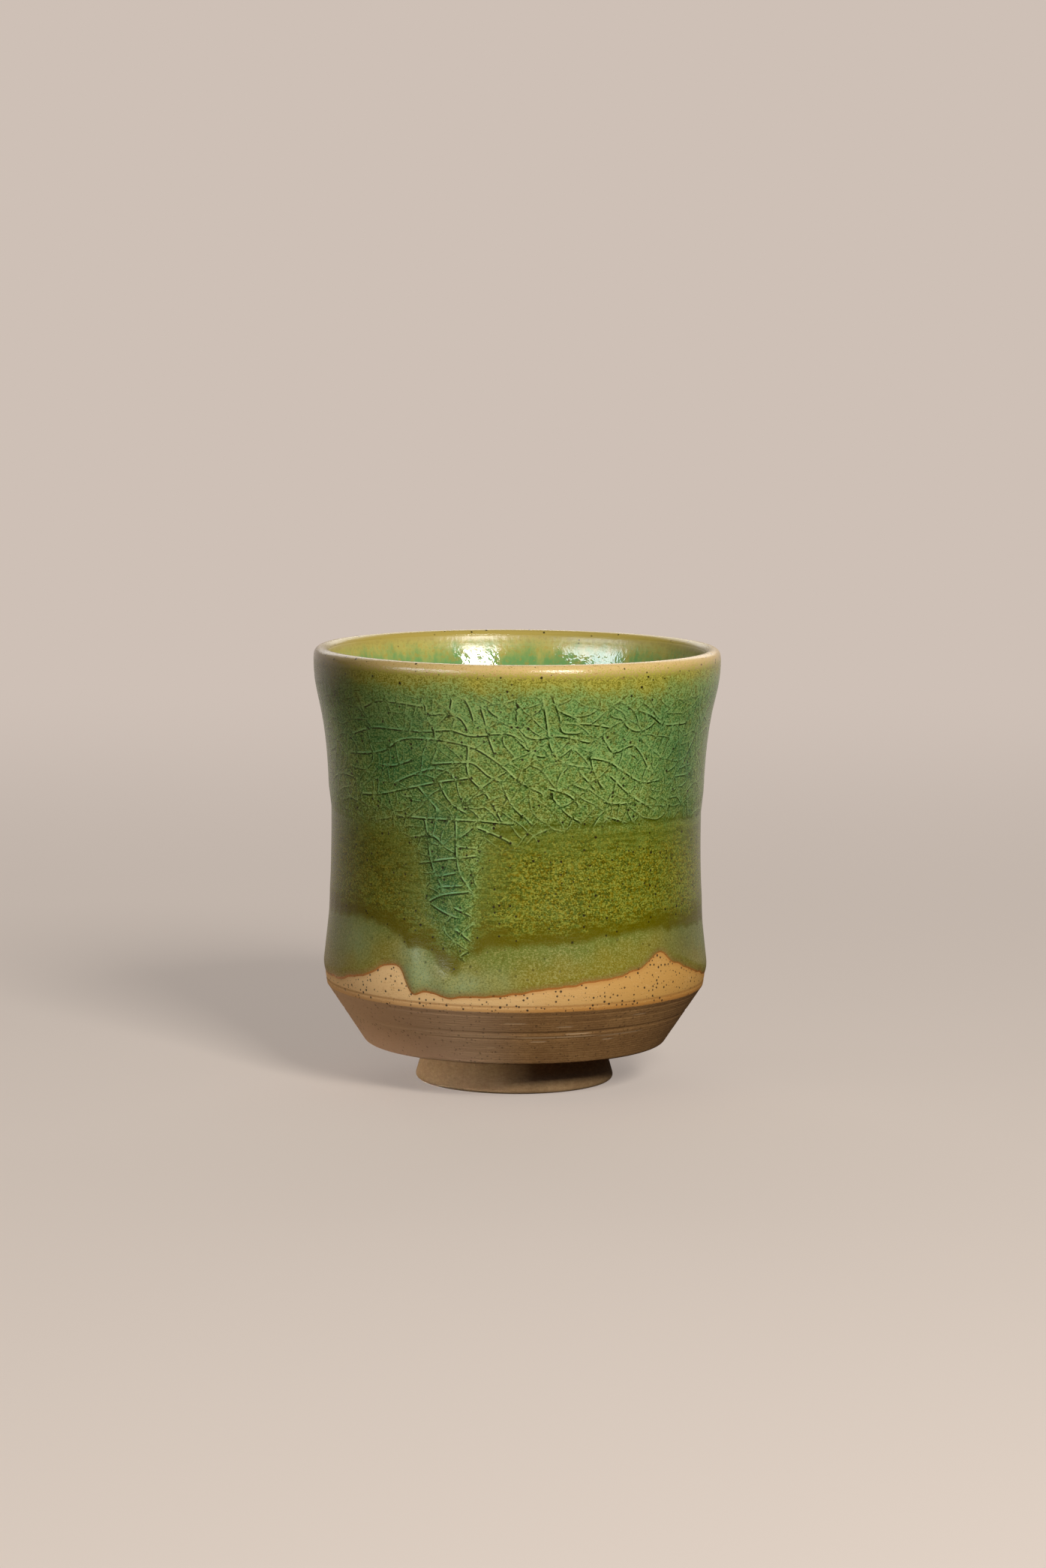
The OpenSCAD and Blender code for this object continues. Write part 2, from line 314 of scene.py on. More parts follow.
def put(tree, kind, inputs=None, **settings):
    node = tree.nodes.new("ShaderNode" + kind)
    for name, value in settings.items():
        setattr(node, name, value)
    return feed(tree, node, inputs or {})


def calc(tree, operation, a, b=0.0, clamp=False):
    return put(tree, "Math", {0: a, 1: b}, operation=operation, use_clamp=clamp).outputs[0]


def times(tree, a, b):
    return calc(tree, "MULTIPLY", a, b)


def stray(tree, value, noise, reach):  # a value moved up and down by a noise
    return calc(tree, "ADD", value, times(tree, calc(tree, "SUBTRACT", noise, 0.5), reach))


def ramp(tree, value, start, end, low=0.0, high=1.0):
    inputs = {"Value": value, "From Min": start, "From Max": end, "To Min": low, "To Max": high}
    return put(tree, "MapRange", inputs, interpolation_type="SMOOTHSTEP").outputs[0]


def blend(tree, share, a, b):
    return put(tree, "Mix", {0: share, 6: a, 7: b}, data_type="RGBA").outputs[2]


def tint(red, green, blue):  # a colour as seen on a screen, 0 to 255
    share = np.array((red, green, blue)) / 255
    linear = np.where(share <= 0.04045, share / 12.92, ((share + 0.055) / 1.055) ** 2.4)
    return (*linear.tolist(), 1.0)


def reading(tree, name):  # a value carried by the mesh
    return put(tree, "Attribute", attribute_name=name).outputs["Fac"]


def place(tree, grain, squash=1.0):  # place on the cup, in grains; squash flattens these into streaks
    scale = (1 / grain / mm, 1 / grain / mm, squash / grain / mm)
    spot = put(tree, "TexCoord").outputs["Object"]
    return put(tree, "VectorMath", {0: spot, 1: scale}, operation="MULTIPLY").outputs[0]


def cloud(tree, grain, detail=2.0, rough=0.5, squash=1.0):
    inputs = {"Vector": place(tree, grain, squash), "Scale": 1.0, "Detail": detail, "Roughness": rough}
    return put(tree, "TexNoise", inputs).outputs[0]


def newGroup(name, inputs, outputs):
    group = bpy.data.node_groups.new(name, "ShaderNodeTree")
    for label, value in inputs.items():
        group.interface.new_socket(label, in_out="INPUT", socket_type="NodeSocketFloat").default_value = value
    for label, kind in outputs.items():
        group.interface.new_socket(label, in_out="OUTPUT", socket_type="NodeSocket" + kind)
    return group, group.nodes.new("NodeGroupInput").outputs, group.nodes.new("NodeGroupOutput").inputs


def use(tree, group, **values):
    node = tree.nodes.new("ShaderNodeGroup")
    node.node_tree = group
    return feed(tree, node, values).outputs


def between(start, end, low=0.0, high=1.0, **strays):  # an effect's ends, its share there, and what strays it
    return {"ends": (start, end, low, high), "strays": strays}


def paintBox(tree, look):  # the inks and noises of a look, and the two ways to use its effects
    ink = {name: tint(*rgb) for name, rgb in look["inks"].items()}
    noise = {name: cloud(tree, *grain) for name, grain in look["noises"].items()}

    def fade(effect, value):  # share of an effect
        for name, reach in look["effects"][effect]["strays"].items():
            value = stray(tree, value, noise[name], reach)
        return ramp(tree, value, *look["effects"][effect]["ends"])

    def lay(under, effect, value, over):  # an ink over a colour, as far as an effect goes
        return blend(tree, fade(effect, value), under, ink[over])

    return ink, noise, fade, lay


def finish(name, make, bump, settings):  # a material whose colour, roughness and height come from make(tree)
    material = bpy.data.materials.new(name)
    material.use_nodes = True
    tree = material.node_tree
    tree.nodes.clear()
    colour, roughness, height = make(tree)
    relief = put(tree, "Bump", {"Height": height, "Distance": bump * mm, "Strength": 1.0})
    inputs = {"Base Color": colour, "Roughness": roughness, "Normal": relief.outputs[0], **settings}
    shader = put(tree, "BsdfPrincipled", inputs)
    put(tree, "OutputMaterial", {"Surface": shader.outputs[0]})
    return material


# shared effects
speckShape = {"least": 0.45, "spread": 0.9, "core": 0.55}  # shares of a speck's size
grainShape = {"drawn": {"Scale": 0.9, "Detail": 3.0, "Roughness": 0.6}, "sand": (0.35, 3.0, 0.7),
              "patches": (7.0, 2.0), "drawnTone": 1.3, "drawnHeight": 0.6, "sandHeight": 0.5}


def makeIronSpecks(shape):  # dark iron dots burnt through clay and glaze
    group, start, end = newGroup("ironSpecks", {"Spacing": 1.5, "Size": 0.2, "Share": 0.3}, {"Mask": "Float"})
    closer = calc(group, "DIVIDE", 1.0, start["Spacing"])
    spot = put(group, "VectorMath", {0: place(group, 1.0), "Scale": closer}, operation="SCALE").outputs[0]
    cells = put(group, "TexVoronoi", {"Vector": spot, "Scale": 1.0}).outputs
    lot = put(group, "SeparateColor", {0: cells["Color"]}).outputs
    size = calc(group, "ADD", times(group, lot[1], shape["spread"]), shape["least"])
    reach = times(group, cells["Distance"], start["Spacing"])
    dot = ramp(group, calc(group, "DIVIDE", reach, times(group, start["Size"], size)), 1.0, shape["core"])
    chosen = calc(group, "LESS_THAN", lot[0], start["Share"])
    group.links.new(times(group, dot, chosen), end["Mask"])
    return group


def makeClayGrain(shape):  # sand and tooling in bare clay: a tone from -1 to 1, and a height
    group, start, end = newGroup("clayGrain", {"Drag": 4.0}, {"Tone": "Float", "Height": "Float"})
    drag = put(group, "CombineXYZ", {0: 1.0, 1: 1.0, 2: start["Drag"]}).outputs[0]
    spot = put(group, "VectorMath", {0: place(group, 1.0), 1: drag}, operation="MULTIPLY").outputs[0]
    drawn = put(group, "TexNoise", {"Vector": spot, **shape["drawn"]}).outputs[0]
    sand, patch = cloud(group, *shape["sand"]), cloud(group, *shape["patches"])
    tone = 0.0
    for noise, share in ((drawn, shape["drawnTone"]), (sand, 1.0), (patch, 1.0)):
        tone = stray(group, tone, noise, share)
    heights = (times(group, drawn, shape["drawnHeight"]), times(group, sand, shape["sandHeight"]))
    group.links.new(tone, end["Tone"])
    group.links.new(calc(group, "ADD", *heights), end["Height"])
    return group


ironSpecks = makeIronSpecks(speckShape)
clayGrain = makeClayGrain(grainShape)
print("shared effects made")


# colours of the three dips
rimInk = (184, 164, 84)  # where the dips and the lining meet
dippedColours = {
    "inks": {
        "pale": (142, 132, 44), "paleGreen": (118, 130, 54), "paleLight": (168, 166, 94),
        "paleDark": (104, 100, 30), "milk": (150, 168, 118), "hemLine": (190, 124, 62),
        "hemHalo": (164, 132, 78),
        "olive": (114, 117, 24), "oliveDark": (68, 68, 0), "oliveLight": (178, 180, 72),
        "oliveGreen": (100, 118, 34), "oliveGold": (146, 126, 14), "oliveMoss": (80, 108, 40),
        "oliveFoot": (102, 96, 0), "dipLine": (82, 92, 2),
        "crackle": (112, 132, 54), "crackleUpper": (140, 192, 116), "crackleLight": (160, 188, 108),
        "crackleDark": (60, 80, 20), "crackleOlive": (136, 140, 60), "crackleGreen": (100, 150, 78),
        # craze inks: the dark crack with its painted shade, and the painted highlight on its lit side,
        # greener where the glaze is teal
        "crackleMoss": (86, 122, 58), "crazeDark": (28, 46, 2), "crazeLight": (172, 202, 124),
        "teal": (44, 96, 50), "tealLight": (116, 178, 120), "deep": (70, 66, 14), "speck": (40, 34, 12),
        "lipMottle": (192, 182, 76), "lipDark": (124, 124, 36), "lipTan": (224, 194, 132),
        "lipFleck": (168, 140, 66), "rim": rimInk,
    },
    "noises": {  # grain, detail, roughness, and how flat the grains lie
        "mottle": (0.65, 3.0, 0.7, 1.4), "fine": (0.37, 2.0, 0.65, 1.3), "hue": (0.55, 2.0, 0.6),
        "streak": (2.6, 2.0, 0.55, 4.5), "patch": (5.0, 2.0, 0.5), "blotch": (2.4, 2.0, 0.6),
        "drag": (4.0, 2.0, 0.6, 9.0),
    },
    "effects": {  # start and end of each, its share there, and how far the noises stray it
        "green": between(1.5, 8.0, patch=8.0, mottle=3.0), "milky": between(0.3, 0.6, 0.6, 1.0),
        "paleLight": between(0.51, 0.6, 0.0, 0.75), "paleDark": between(0.48, 0.38, 0.0, 0.6),
        "halo": between(1.5, 0.2, 0.0, 0.6, mottle=1.2), "hemLine": between(0.4, 0.1, 0.0, 0.95, fine=0.3),
        "oliveBody": between(0.42, 0.5), "oliveLight": between(0.5, 0.58),
        "oliveGreen": between(0.42, 0.62, 0.0, 0.4), "oliveGold": between(0.53, 0.63, 0.0, 0.55),
        "oliveMoss": between(0.47, 0.37, 0.0, 0.5),
        "greened": between(-9.0, -1.0, 0.0, 0.5, streak=9.0, patch=6.0),
        "drawnFrom": between(-11.0, -4.0), "drawnTo": between(1.0, -0.5),
        "drawnLines": between(0.5, 0.4, 0.0, 0.55),
        "pooled": between(5.0, 1.2, 0.0, 0.92, patch=6.0, streak=6.0),
        "oliveEdge": between(-0.8, 0.9, mottle=2.2, patch=1.6),
        "upper": between(22.0, 9.0, patch=8.0), "upperPatches": between(0.3, 0.6, 0.5, 1.0),
        "crackleOlive": between(0.48, 0.36, 0.0, 0.7), "crackleGreen": between(0.52, 0.64, 0.0, 0.7),
        "crackleLight": between(0.5, 0.58, 0.0, 0.9), "crackleDark": between(0.5, 0.42, 0.0, 0.9),
        "crackleGold": between(0.53, 0.63, 0.0, 0.5), "crackleMoss": between(0.47, 0.37, 0.0, 0.5),
        "thick": between(0.0, 1.3, patch=1.0, mottle=0.5), "tealFlecks": between(0.42, 0.58, 1.0, 0.5),
        "crackleEdge": between(-2.6, 1.6, mottle=4.0, patch=4.0), "dipLine": between(0.3, 0.55, 0.45, 0.95),
        "lipMottle": between(0.4, 0.58), "lipFleck": between(0.46, 0.36, 0.0, 0.8),
        "thinned": between(5.5, 0.5, 0.0, 0.5, fleck=10.0),
        "broken": between(3.4, 0.8, 0.0, 0.9, fleck=10.0, patch=6.0),
        "worn": between(0.7, -0.6, fleck=6.0), "inside": between(-1.2, -2.4, mottle=3.0),
        "specks": between(0.0, 1.0, 0.45, 0.95), "satin": between(0.3, 0.7, 0.2, 0.34),
        "lipGloss": between(1.0, -0.6, 0.0, -0.1),
    },
    "fleck": {"mottle": 0.35, "fine": 0.65}, "grain": {"fleck": 0.8, "streak": 0.2},
    "relief": {"grain": 0.8, "fine": 0.35}, "crackShade": -1.1,
    "specks": {"Spacing": 1.1, "Size": 0.29, "Share": 0.32},
}


def makeDippedGlaze(look):  # the dips are told apart by how far a spot lies above each hem
    outputs = {"Color": "Color", "Roughness": "Float", "Height": "Float"}
    group, _, end = newGroup("dippedGlaze", {}, outputs)
    ink, noise, fade, lay = paintBox(group, look)
    paleGap, oliveGap, crackleGap = (reading(group, name) for name in ("hemGap", "oliveGap", "crackleGap"))
    lipGap, teal, craze = (reading(group, name) for name in ("lipGap", "teal", "craze"))
    milk, dipLine, deep = (reading(group, name) for name in ("milk", "dipLine", "deep"))
    for name in ("fleck", "grain", "relief"):
        parts = [times(group, noise[part], share) for part, share in look[name].items()]
        noise[name] = calc(group, "ADD", *parts)
    fleck, grain, hue = noise["fleck"], noise["grain"], noise["hue"]
    streak, blotch, patch = noise["streak"], noise["blotch"], noise["patch"]

    # pale dip: greener where thick, browner by its hem, with a burnt line at the edge
    pale = blend(group, fade("green", paleGap), ink["pale"], ink["paleGreen"])
    # milky glaze, also painted sheen round the drip lobes
    pale = blend(group, times(group, milk, fade("milky", patch)), pale, ink["milk"])
    pale = lay(pale, "paleLight", fleck, "paleLight")
    pale = lay(pale, "paleDark", fleck, "paleDark")
    pale = lay(pale, "halo", paleGap, "hemHalo")
    pale = lay(pale, "hemLine", paleGap, "hemLine")

    # olive dip: mottled and streaked, smooth and yellow where it pools at its foot
    olive = lay(ink["oliveDark"], "oliveBody", grain, "olive")
    olive = lay(olive, "oliveLight", grain, "oliveLight")
    olive = lay(olive, "oliveGreen", streak, "oliveGreen")
    olive = lay(olive, "oliveGold", hue, "oliveGold")
    olive = lay(olive, "oliveMoss", hue, "oliveMoss")
    olive = lay(olive, "greened", crackleGap, "crackle")
    drawn = times(group, fade("drawnFrom", crackleGap), fade("drawnTo", crackleGap))
    olive = blend(group, times(group, drawn, fade("drawnLines", noise["drag"])), olive, ink["dipLine"])
    olive = lay(olive, "pooled", oliveGap, "oliveFoot")
    oliveShare = fade("oliveEdge", oliveGap)
    colour = blend(group, oliveShare, pale, olive)

    # crackled dip: green, teal where thick; each craze line a dark crack with painted shade on its lower left
    # side and a painted highlight on its upper right side, greener where thick
    upper = times(group, fade("upper", lipGap), fade("upperPatches", patch))
    crackle = blend(group, upper, ink["crackle"], ink["crackleUpper"])
    crackle = lay(crackle, "crackleOlive", blotch, "crackleOlive")
    crackle = lay(crackle, "crackleGreen", blotch, "crackleGreen")
    crackle = lay(crackle, "crackleLight", fleck, "crackleLight")
    crackle = lay(crackle, "crackleDark", fleck, "crackleDark")
    crackle = lay(crackle, "crackleGold", hue, "crackleOlive")
    crackle = lay(crackle, "crackleMoss", hue, "crackleMoss")
    thick = fade("thick", teal)
    crackle = blend(group, times(group, thick, fade("tealFlecks", fleck)), crackle, ink["teal"])
    colour = blend(group, fade("crackleEdge", crackleGap), colour, crackle)
    colour = blend(group, times(group, dipLine, fade("dipLine", streak)), colour, ink["dipLine"])
    # painted highlight on the upper right of each crack, then the dark crack and painted shade on its lower
    # left
    paintedLitSide = blend(group, thick, ink["crazeLight"], ink["tealLight"])
    colour = blend(group, calc(group, "MULTIPLY", craze, 1.0, True), colour, paintedLitSide)
    colour = blend(group, calc(group, "MULTIPLY", craze, look["crackShade"], True), colour, ink["crazeDark"])

    # thin and broken at the lip
    thinned = lay(ink["lipDark"], "lipMottle", fleck, "lipMottle")
    worn = lay(ink["lipTan"], "lipFleck", fleck, "lipFleck")
    for effect, over in (("thinned", thinned), ("broken", thinned), ("worn", worn), ("inside", ink["rim"])):
        colour = blend(group, fade(effect, lipGap), colour, over)
    # painted shade: darker where the deep patches lie
    colour = blend(group, deep, colour, ink["deep"])

    specks = use(group, ironSpecks, **look["specks"])["Mask"]
    colour = blend(group, times(group, specks, fade("specks", oliveShare)), colour, ink["speck"])
    group.links.new(colour, end["Color"])
    group.links.new(calc(group, "ADD", fade("satin", grain), fade("lipGloss", lipGap)), end["Roughness"])
    group.links.new(noise["relief"], end["Height"])
    return group


dippedGlaze = makeDippedGlaze(dippedColours)
dippedGloss = {"Specular IOR Level": 0.4}


def dippedLook(tree):
    look = use(tree, dippedGlaze)
    return look["Color"], look["Roughness"], look["Height"]


# the three dips: thickness, bead at the hem, how the hem strays from the frame's, and the rows of the mesh
paleCoat = {"thickness": 0.3, "bead": 2.0, "sharp": True, "sunk": 0.4, "hemSway": 0.1, "throwing": 0.02,
            "lobeEdge": 2.4, "relief": 0.03, "denseTop": 42, "denseRows": 84, "coarseRows": 16,
            "hemTouches": [(224, -1.0, 5), (234.4, 1.1, 2), (238.5, -1.1, 2.2), (246, 0.2, 1.5),
                           (320.6, -0.6, 3)]}  # angle, lift and reach
oliveCoat = {"thickness": 0.2, "bead": 5.0, "sharp": False, "sunk": 1.4, "hemSway": 0.25, "hemTouches": [],
             "relief": 0.05, "denseTop": 59, "denseRows": 76, "coarseRows": 14}
crackleCoat = {"thickness": 0.3, "bead": 4.0, "sharp": False, "sunk": 1.4, "hemSway": 0.12, "hemTouches": [],
               "run": 0.12, "runAngle": 249, "runReach": 6, "runTop": (60, 52), "runEdge": 3,
               "film": 0.05, "filmBuried": 1.6, "filmEdge": 2.4, "overLip": 0.5, "relief": 0.05,
               "crackDrop": 0.6, "lowDrop": 6.0, "lowAngle": 270, "lowReach": 13}
coatShape = {"bond": 0.05, "buried": 1.2, "lipShare": 0.3, "lipFade": 8.0, "columns": 720, "gather": 1.25}
dripLobes = [(239, 28, 2.8, 4, 0.3), (249, 26, 3.5, 3, 0.3), (262, 26, 5, 2.5, 0.1)]
# patches of milky glaze (angle, height, reaches, strength); the first four, round the drip lobes, are also
# painted sheen
milkAndSheenPatches = [
    (237, 29, 5, 6, 1.0), (244, 25, 6, 4, 1.0), (254, 23.5, 6, 3.5, 1.0), (264, 25.5, 7, 2.5, 0.6),
    (325, 31, 12, 5, 0.2), (215, 32, 9, 5, 0.7), (30, 29, 20, 4, 0.7), (100, 26, 14, 3, 0.8),
    (150, 30, 16, 4, 0.6),
]
# darker patches (angle, height, reaches, strength): painted shade on the left below the lip, on the left of
# the olive dip and on the right of the pale dip; the last one, at the back, darkens the glaze there
paintedShadePatches = [(205, 85, 34, 9, 0.7), (226, 47, 18, 13, 0.42), (332, 31, 14, 7, 0.4), (130, 46, 30, 10, 0.3)]
tealPatches = [
    (236, 73, 17, 8, 0.8), (230, 66, 16, 8, 0.7), (212, 76, 14, 7, 0.5), (328, 66, 17, 13, 0.8),
    (300, 76, 22, 6, 0.4), (246, 58, 11, 8, 0.6), (248, 47, 9, 9, 0.75), (250, 38, 7, 7, 0.7),
    (30, 66, 18, 11, 0.8), (75, 74, 16, 8, 0.7), (112, 62, 20, 10, 0.7), (160, 70, 16, 11, 0.8),
]
dipRims = {"middle": 300, "sides": (60, 36),
           "marks": [(0.4, 0.45, 1.0), (2.9, 0.3, 0.55)]}  # drop below the dip line, reach and strength
lipWear = {"share": 0.3, "middle": 308, "reach": 34}  # the glaze breaks lower down there
throwingRipples = (10, 1, 7)

paleHem = hemLine("base_glaze", paleCoat)
oliveHem = hemLine("olive_glaze", oliveCoat)
crackleHem = hemLine("crackle_glaze", crackleCoat)
throwingSway = ripples(*throwingRipples)


def crackDrop(angle):  # how far below the dip line the cracks reach
    coat = crackleCoat
    return coat["crackDrop"] + coat["lowDrop"] * hump(angle, coat["lowAngle"], coat["lowReach"])


crackleFoot = below(lambda angle: crackleHem(angle) - crackDrop(angle), crackleCoat["sunk"])


def lipThinning(level):  # share of its thickness that a glaze keeps towards the lip
    fade = np.clip((glazeTop - level) / coatShape["lipFade"], 0, 1)
    return coatShape["lipShare"] + (1 - coatShape["lipShare"]) * np.sin(fade * np.pi / 2)


def surfacing(share, depth):  # comes up from below the surface
    return (1 + depth) * share - depth


def coatBuild(coat, level, gap):
    bead = np.clip(gap / coat["bead"], 0, 1)
    rounding = bead * (2 - bead) if coat["sharp"] else smoothStep(bead, 0, 1)
    rise = surfacing(smoothStep(gap, -coat["sunk"], coat["sunk"] / 2), coatShape["buried"])
    return coatShape["bond"] * rise + coat["thickness"] * rounding * lipThinning(level)


def paleTop(angle, level):
    gap = hemGap(paleHem, angle, level)
    sway = paleCoat["throwing"] * throwingSway(angle, level)
    lobes = patches(dripLobes, angle, level) * smoothStep(gap, 0, paleCoat["lobeEdge"])
    return coatBuild(paleCoat, level, gap) + lobes + sway


def oliveTop(angle, level):
    return paleTop(angle, level) + coatBuild(oliveCoat, level, hemGap(oliveHem, angle, level))


def crackleTop(angle, level):
    coat = crackleCoat
    gap = hemGap(crackleHem, angle, level)
    footGap = hemGap(crackleFoot, angle, level)
    run = coat["run"] * hump(angle, coat["runAngle"], coat["runReach"])
    run = run * smoothStep(level, *coat["runTop"]) * smoothStep(gap, 0, coat["runEdge"])
    film = coat["film"] * surfacing(smoothStep(footGap, 0, coat["filmEdge"]), coat["filmBuried"])
    thickness = np.maximum(coatBuild(coat, level, gap), 0)
    return np.maximum(oliveTop(angle, level), paleTop(angle, level)) + thickness + run + film


def dipMarks(angle, level):  # the rim of the third dip, and a fainter one where it first stood
    drop = crackleHem(angle) - level
    marks = sum(strength * np.exp(-((drop - low) / reach) ** 2) for low, reach, strength in dipRims["marks"])
    return marks * smoothStep(abs(away(angle, dipRims["middle"])), *dipRims["sides"])


def glazeReadings(angle, level):
    wear = 1 - lipWear["share"] * hump(angle, lipWear["middle"], lipWear["reach"])
    values = {"dipLine": dipMarks(angle, level), "lipGap": (glazeTop - level) * wear}
    for name, hem in (("hemGap", paleHem), ("oliveGap", oliveHem), ("crackleGap", crackleHem)):
        values[name] = hemGap(hem, angle, level)
    for name, spots in (("teal", tealPatches), ("milk", milkAndSheenPatches), ("deep", paintedShadePatches)):
        values[name] = np.clip(patches(spots, angle, level), 0, 1)
    return values


def dippedPiece(name, coat, hem, top, under):  # a closed coat, fine by its hem
    angle = turnAngles(coatShape["columns"])
    low = below(hem, coat["sunk"])(angle)
    share = np.linspace(0, 1, coat["denseRows"]) ** coatShape["gather"]
    dense = low + share[:, None] * (coat["denseTop"] - low)
    coarse = np.linspace(coat["denseTop"], glazeTop, coat["coarseRows"])[1:, None] + 0 * angle
    outside = np.vstack((dense, coarse))
    inside = low + np.linspace(1, 0, coat["coarseRows"])[:, None] * (glazeTop - low)
    rows = np.concatenate((wallPoint(angle, outside, top(angle, outside)),
                           wallPoint(angle, inside, under(angle, inside) - 2 * coatShape["bond"])))
    return turnedMesh(name, rows, glazeReadings(angle, np.vstack((outside, inside))))


paleGlaze = dippedPiece("paleGlaze", paleCoat, paleHem, paleTop, lambda angle, level: 0 * level)
paleMaterial = finish("paleGlaze", dippedLook, paleCoat["relief"], dippedGloss)
dress(paleGlaze, "base_glaze", paleMaterial)
oliveGlaze = dippedPiece("oliveGlaze", oliveCoat, oliveHem, oliveTop, paleTop)
oliveMaterial = finish("oliveGlaze", dippedLook, oliveCoat["relief"], dippedGloss)
dress(oliveGlaze, "olive_glaze", oliveMaterial)


# craze lines of the crackled dip, grown on the wall laid flat: u round the cup, v upwards
mapWidth = 360 * wallDegree
crazeNet = {
    "bottom": 28.0, "top": 83.2, "spare": 2, "cell": 0.25, "reach": 16, "open": 9.0, "step": 0.25,
    "topRipples": (8, 4, 30), "topSway": 0.7, "topFade": (0.7, -1.6), "sizeRipples": (10, 3, 22),
    "cellSize": 1.35, "sizeSway": 0.28, "sizeClimb": 2, "footSize": 0.25,
    "most": 2600, "longest": 90, "fewest": 3, "meet": 0.9, "turn": 1.2, "wander": 5.5,
    "leanStray": 10, "crossing": 80, "crossStray": 14, "favour": (0.75, 1.5),
    "mainWidth": 1.0, "fineWidths": (0.7, 0.95), "mainStrength": 1.25, "fineStrengths": (0.4, 0.95),
    "breakMean": 0.85, "breakDepth": 0.25, "breakPaces": (0.6, 1.6), "breakStarts": (0, 6),
    # litFrom: the side of each crack given painted light; acrossTone: the painted highlight there, and the
    # dark crack with painted shade on the other side
    "breakShares": (0.3, 1), "litFrom": (0.55, 0.83), "ridge": 0.03, "ridgeReach": 0.18, "ridgeMiddle": 0.08,
    "acrossTone": [(-0.4, 0), (-0.25, -0.8), (-0.1, -1), (0.0, 0), (0.1, 1), (0.2, 0.6), (0.38, 0)],
    # angle round the cup, and the lean of its longer cracks there
    "lean": [(0, 10), (45, -25), (90, 15), (130, -20), (170, 5), (225, 5), (245, -15), (262, -42), (285, -38),
             (300, -28), (320, -20), (335, 35)],
}
mainCracks = [  # angle and height along each long crack
    [(214, 73), (226, 75), (232, 75), (244, 75), (251, 75.5), (257, 74.5), (264, 75), (268, 75), (272, 73.5)],
    [(212, 69), (221, 69.5), (228, 70.5), (235, 73), (243, 73.5), (252, 73), (258, 72), (264, 69.5),
     (272, 65), (278, 63)],
    [(225, 67.5), (231, 67.5), (238, 69)],
    [(245, 68.5), (253, 69), (257, 69), (262, 66.5), (265, 65.5)],
    [(231, 64), (238, 66), (246, 67.5), (250, 67), (252, 65.5)],
    [(217, 61), (225, 61.5), (235, 63), (244, 64.5), (256, 66)],
    [(222, 79), (228, 80.5), (233, 80.5), (243, 80)],
    [(244, 78.5), (252, 78.5), (254, 78), (256, 76)],
    [(244, 80), (244, 78), (246, 75), (246, 73.5)],
    [(252, 81.5), (251, 78.5)],
    [(256, 81.5), (257, 80), (258, 77.5)],
    [(260, 80.5), (261, 78), (262, 74.5), (264, 70.5)],
    [(256, 72), (256, 66.5), (261, 63), (265, 58.5), (266, 57)],
    [(266, 64.5), (269, 60.5), (272, 58.5)],
    [(240, 63.5), (243, 61.5), (246, 59.5)],
    [(247, 64.5), (249, 62), (252, 60), (255, 59)],
    [(270, 76.5), (273, 74.5), (283, 74.5), (289, 73.5), (292, 73)],
    [(270, 74), (274, 71.5), (277, 70.5), (281, 71)],
    [(277, 82), (278, 79), (279, 75), (280, 72), (283, 69.5), (287, 68.5), (292, 68)],
    [(280, 82), (282, 78.5), (283, 75.5), (288, 75)],
    [(292, 70), (298, 69), (303, 67), (310, 64.5), (318, 64.5)],
    [(282, 79.5), (287, 78)],
    [(288, 77), (294, 76.5), (297, 76)],
    [(296, 73.5), (299, 71), (306, 72), (310, 69.5), (312, 67.5)],
    [(301, 77.5), (303, 76), (306, 75), (311, 75.5), (313, 76.5)],
    [(307, 79), (311, 78), (316, 76), (323, 75.5), (328, 75.5)],
    [(336, 73), (332, 69.5), (327, 66)],
    [(280, 64), (286, 62.5), (289, 60.5)],
    [(299, 66), (305, 62.5), (316, 58.5)],
    [(292, 70), (293, 67.5), (296, 64)],
    [(297, 61), (301, 60.5), (306, 60.5)],
    [(289, 67), (294, 63.5)],
    [(281, 62), (285, 59), (290, 57)],
    [(298, 58), (303, 57), (307, 56)],
    [(270, 82), (270, 77.5)],
    [(233, 57.5), (248, 57.5), (257, 57.5), (269, 57)],
    [(237, 53.5), (245, 54), (248, 52.5)],
    [(240, 48.5), (248, 49.5), (258, 50.5)],
    [(242, 57), (243, 53.5), (244, 49), (248, 43.5)],
    [(252, 58), (252, 54), (253, 47.5), (257, 43)],
    [(246, 46), (252, 47)],
    [(247, 44), (254, 44.5)],
    [(241, 40), (246, 42), (257, 43.5)],
    [(244, 40.5), (247, 39.5), (253, 38)],
    [(252, 40), (257, 38.5)],
    [(253, 35.5), (257, 33.5)],
    [(259, 56), (263, 55), (268, 53.5)],
]


def crazeField(net):  # a grid with the room from each of its cells to the nearest crack, and the room wanted
    size = net["cell"]
    columns = int(mapWidth / size)
    rows = int((net["top"] + net["spare"] - net["bottom"]) / size)
    angle = (np.arange(columns) + 0.5) * size / wallDegree
    height = net["bottom"] + (np.arange(rows)[:, None] + 0.5) * size
    topSway, sizeSway = ripples(*net["topRipples"]), ripples(*net["sizeRipples"])
    low, high = crackleHem(angle) - crackDrop(angle), net["top"] + net["topSway"] * topSway(angle)
    inside = (height > low) & (height < high)
    want = net["cellSize"] * (1 + net["sizeSway"] * sizeSway(angle, height * net["sizeClimb"]))
    want = want * (1 + net["footSize"] * (height < crackleHem(angle)))
    span = np.arange(-net["reach"], net["reach"] + 1)
    disc = np.hypot(span[:, None], span) * size
    room = np.where(inside, net["open"], 0.0)
    return {"room": room, "inside": inside, "want": want, "span": span, "disc": disc}


def cellOf(net, field, u, v):
    return int((v - net["bottom"]) / net["cell"]), int(u / net["cell"]) % field["room"].shape[1]


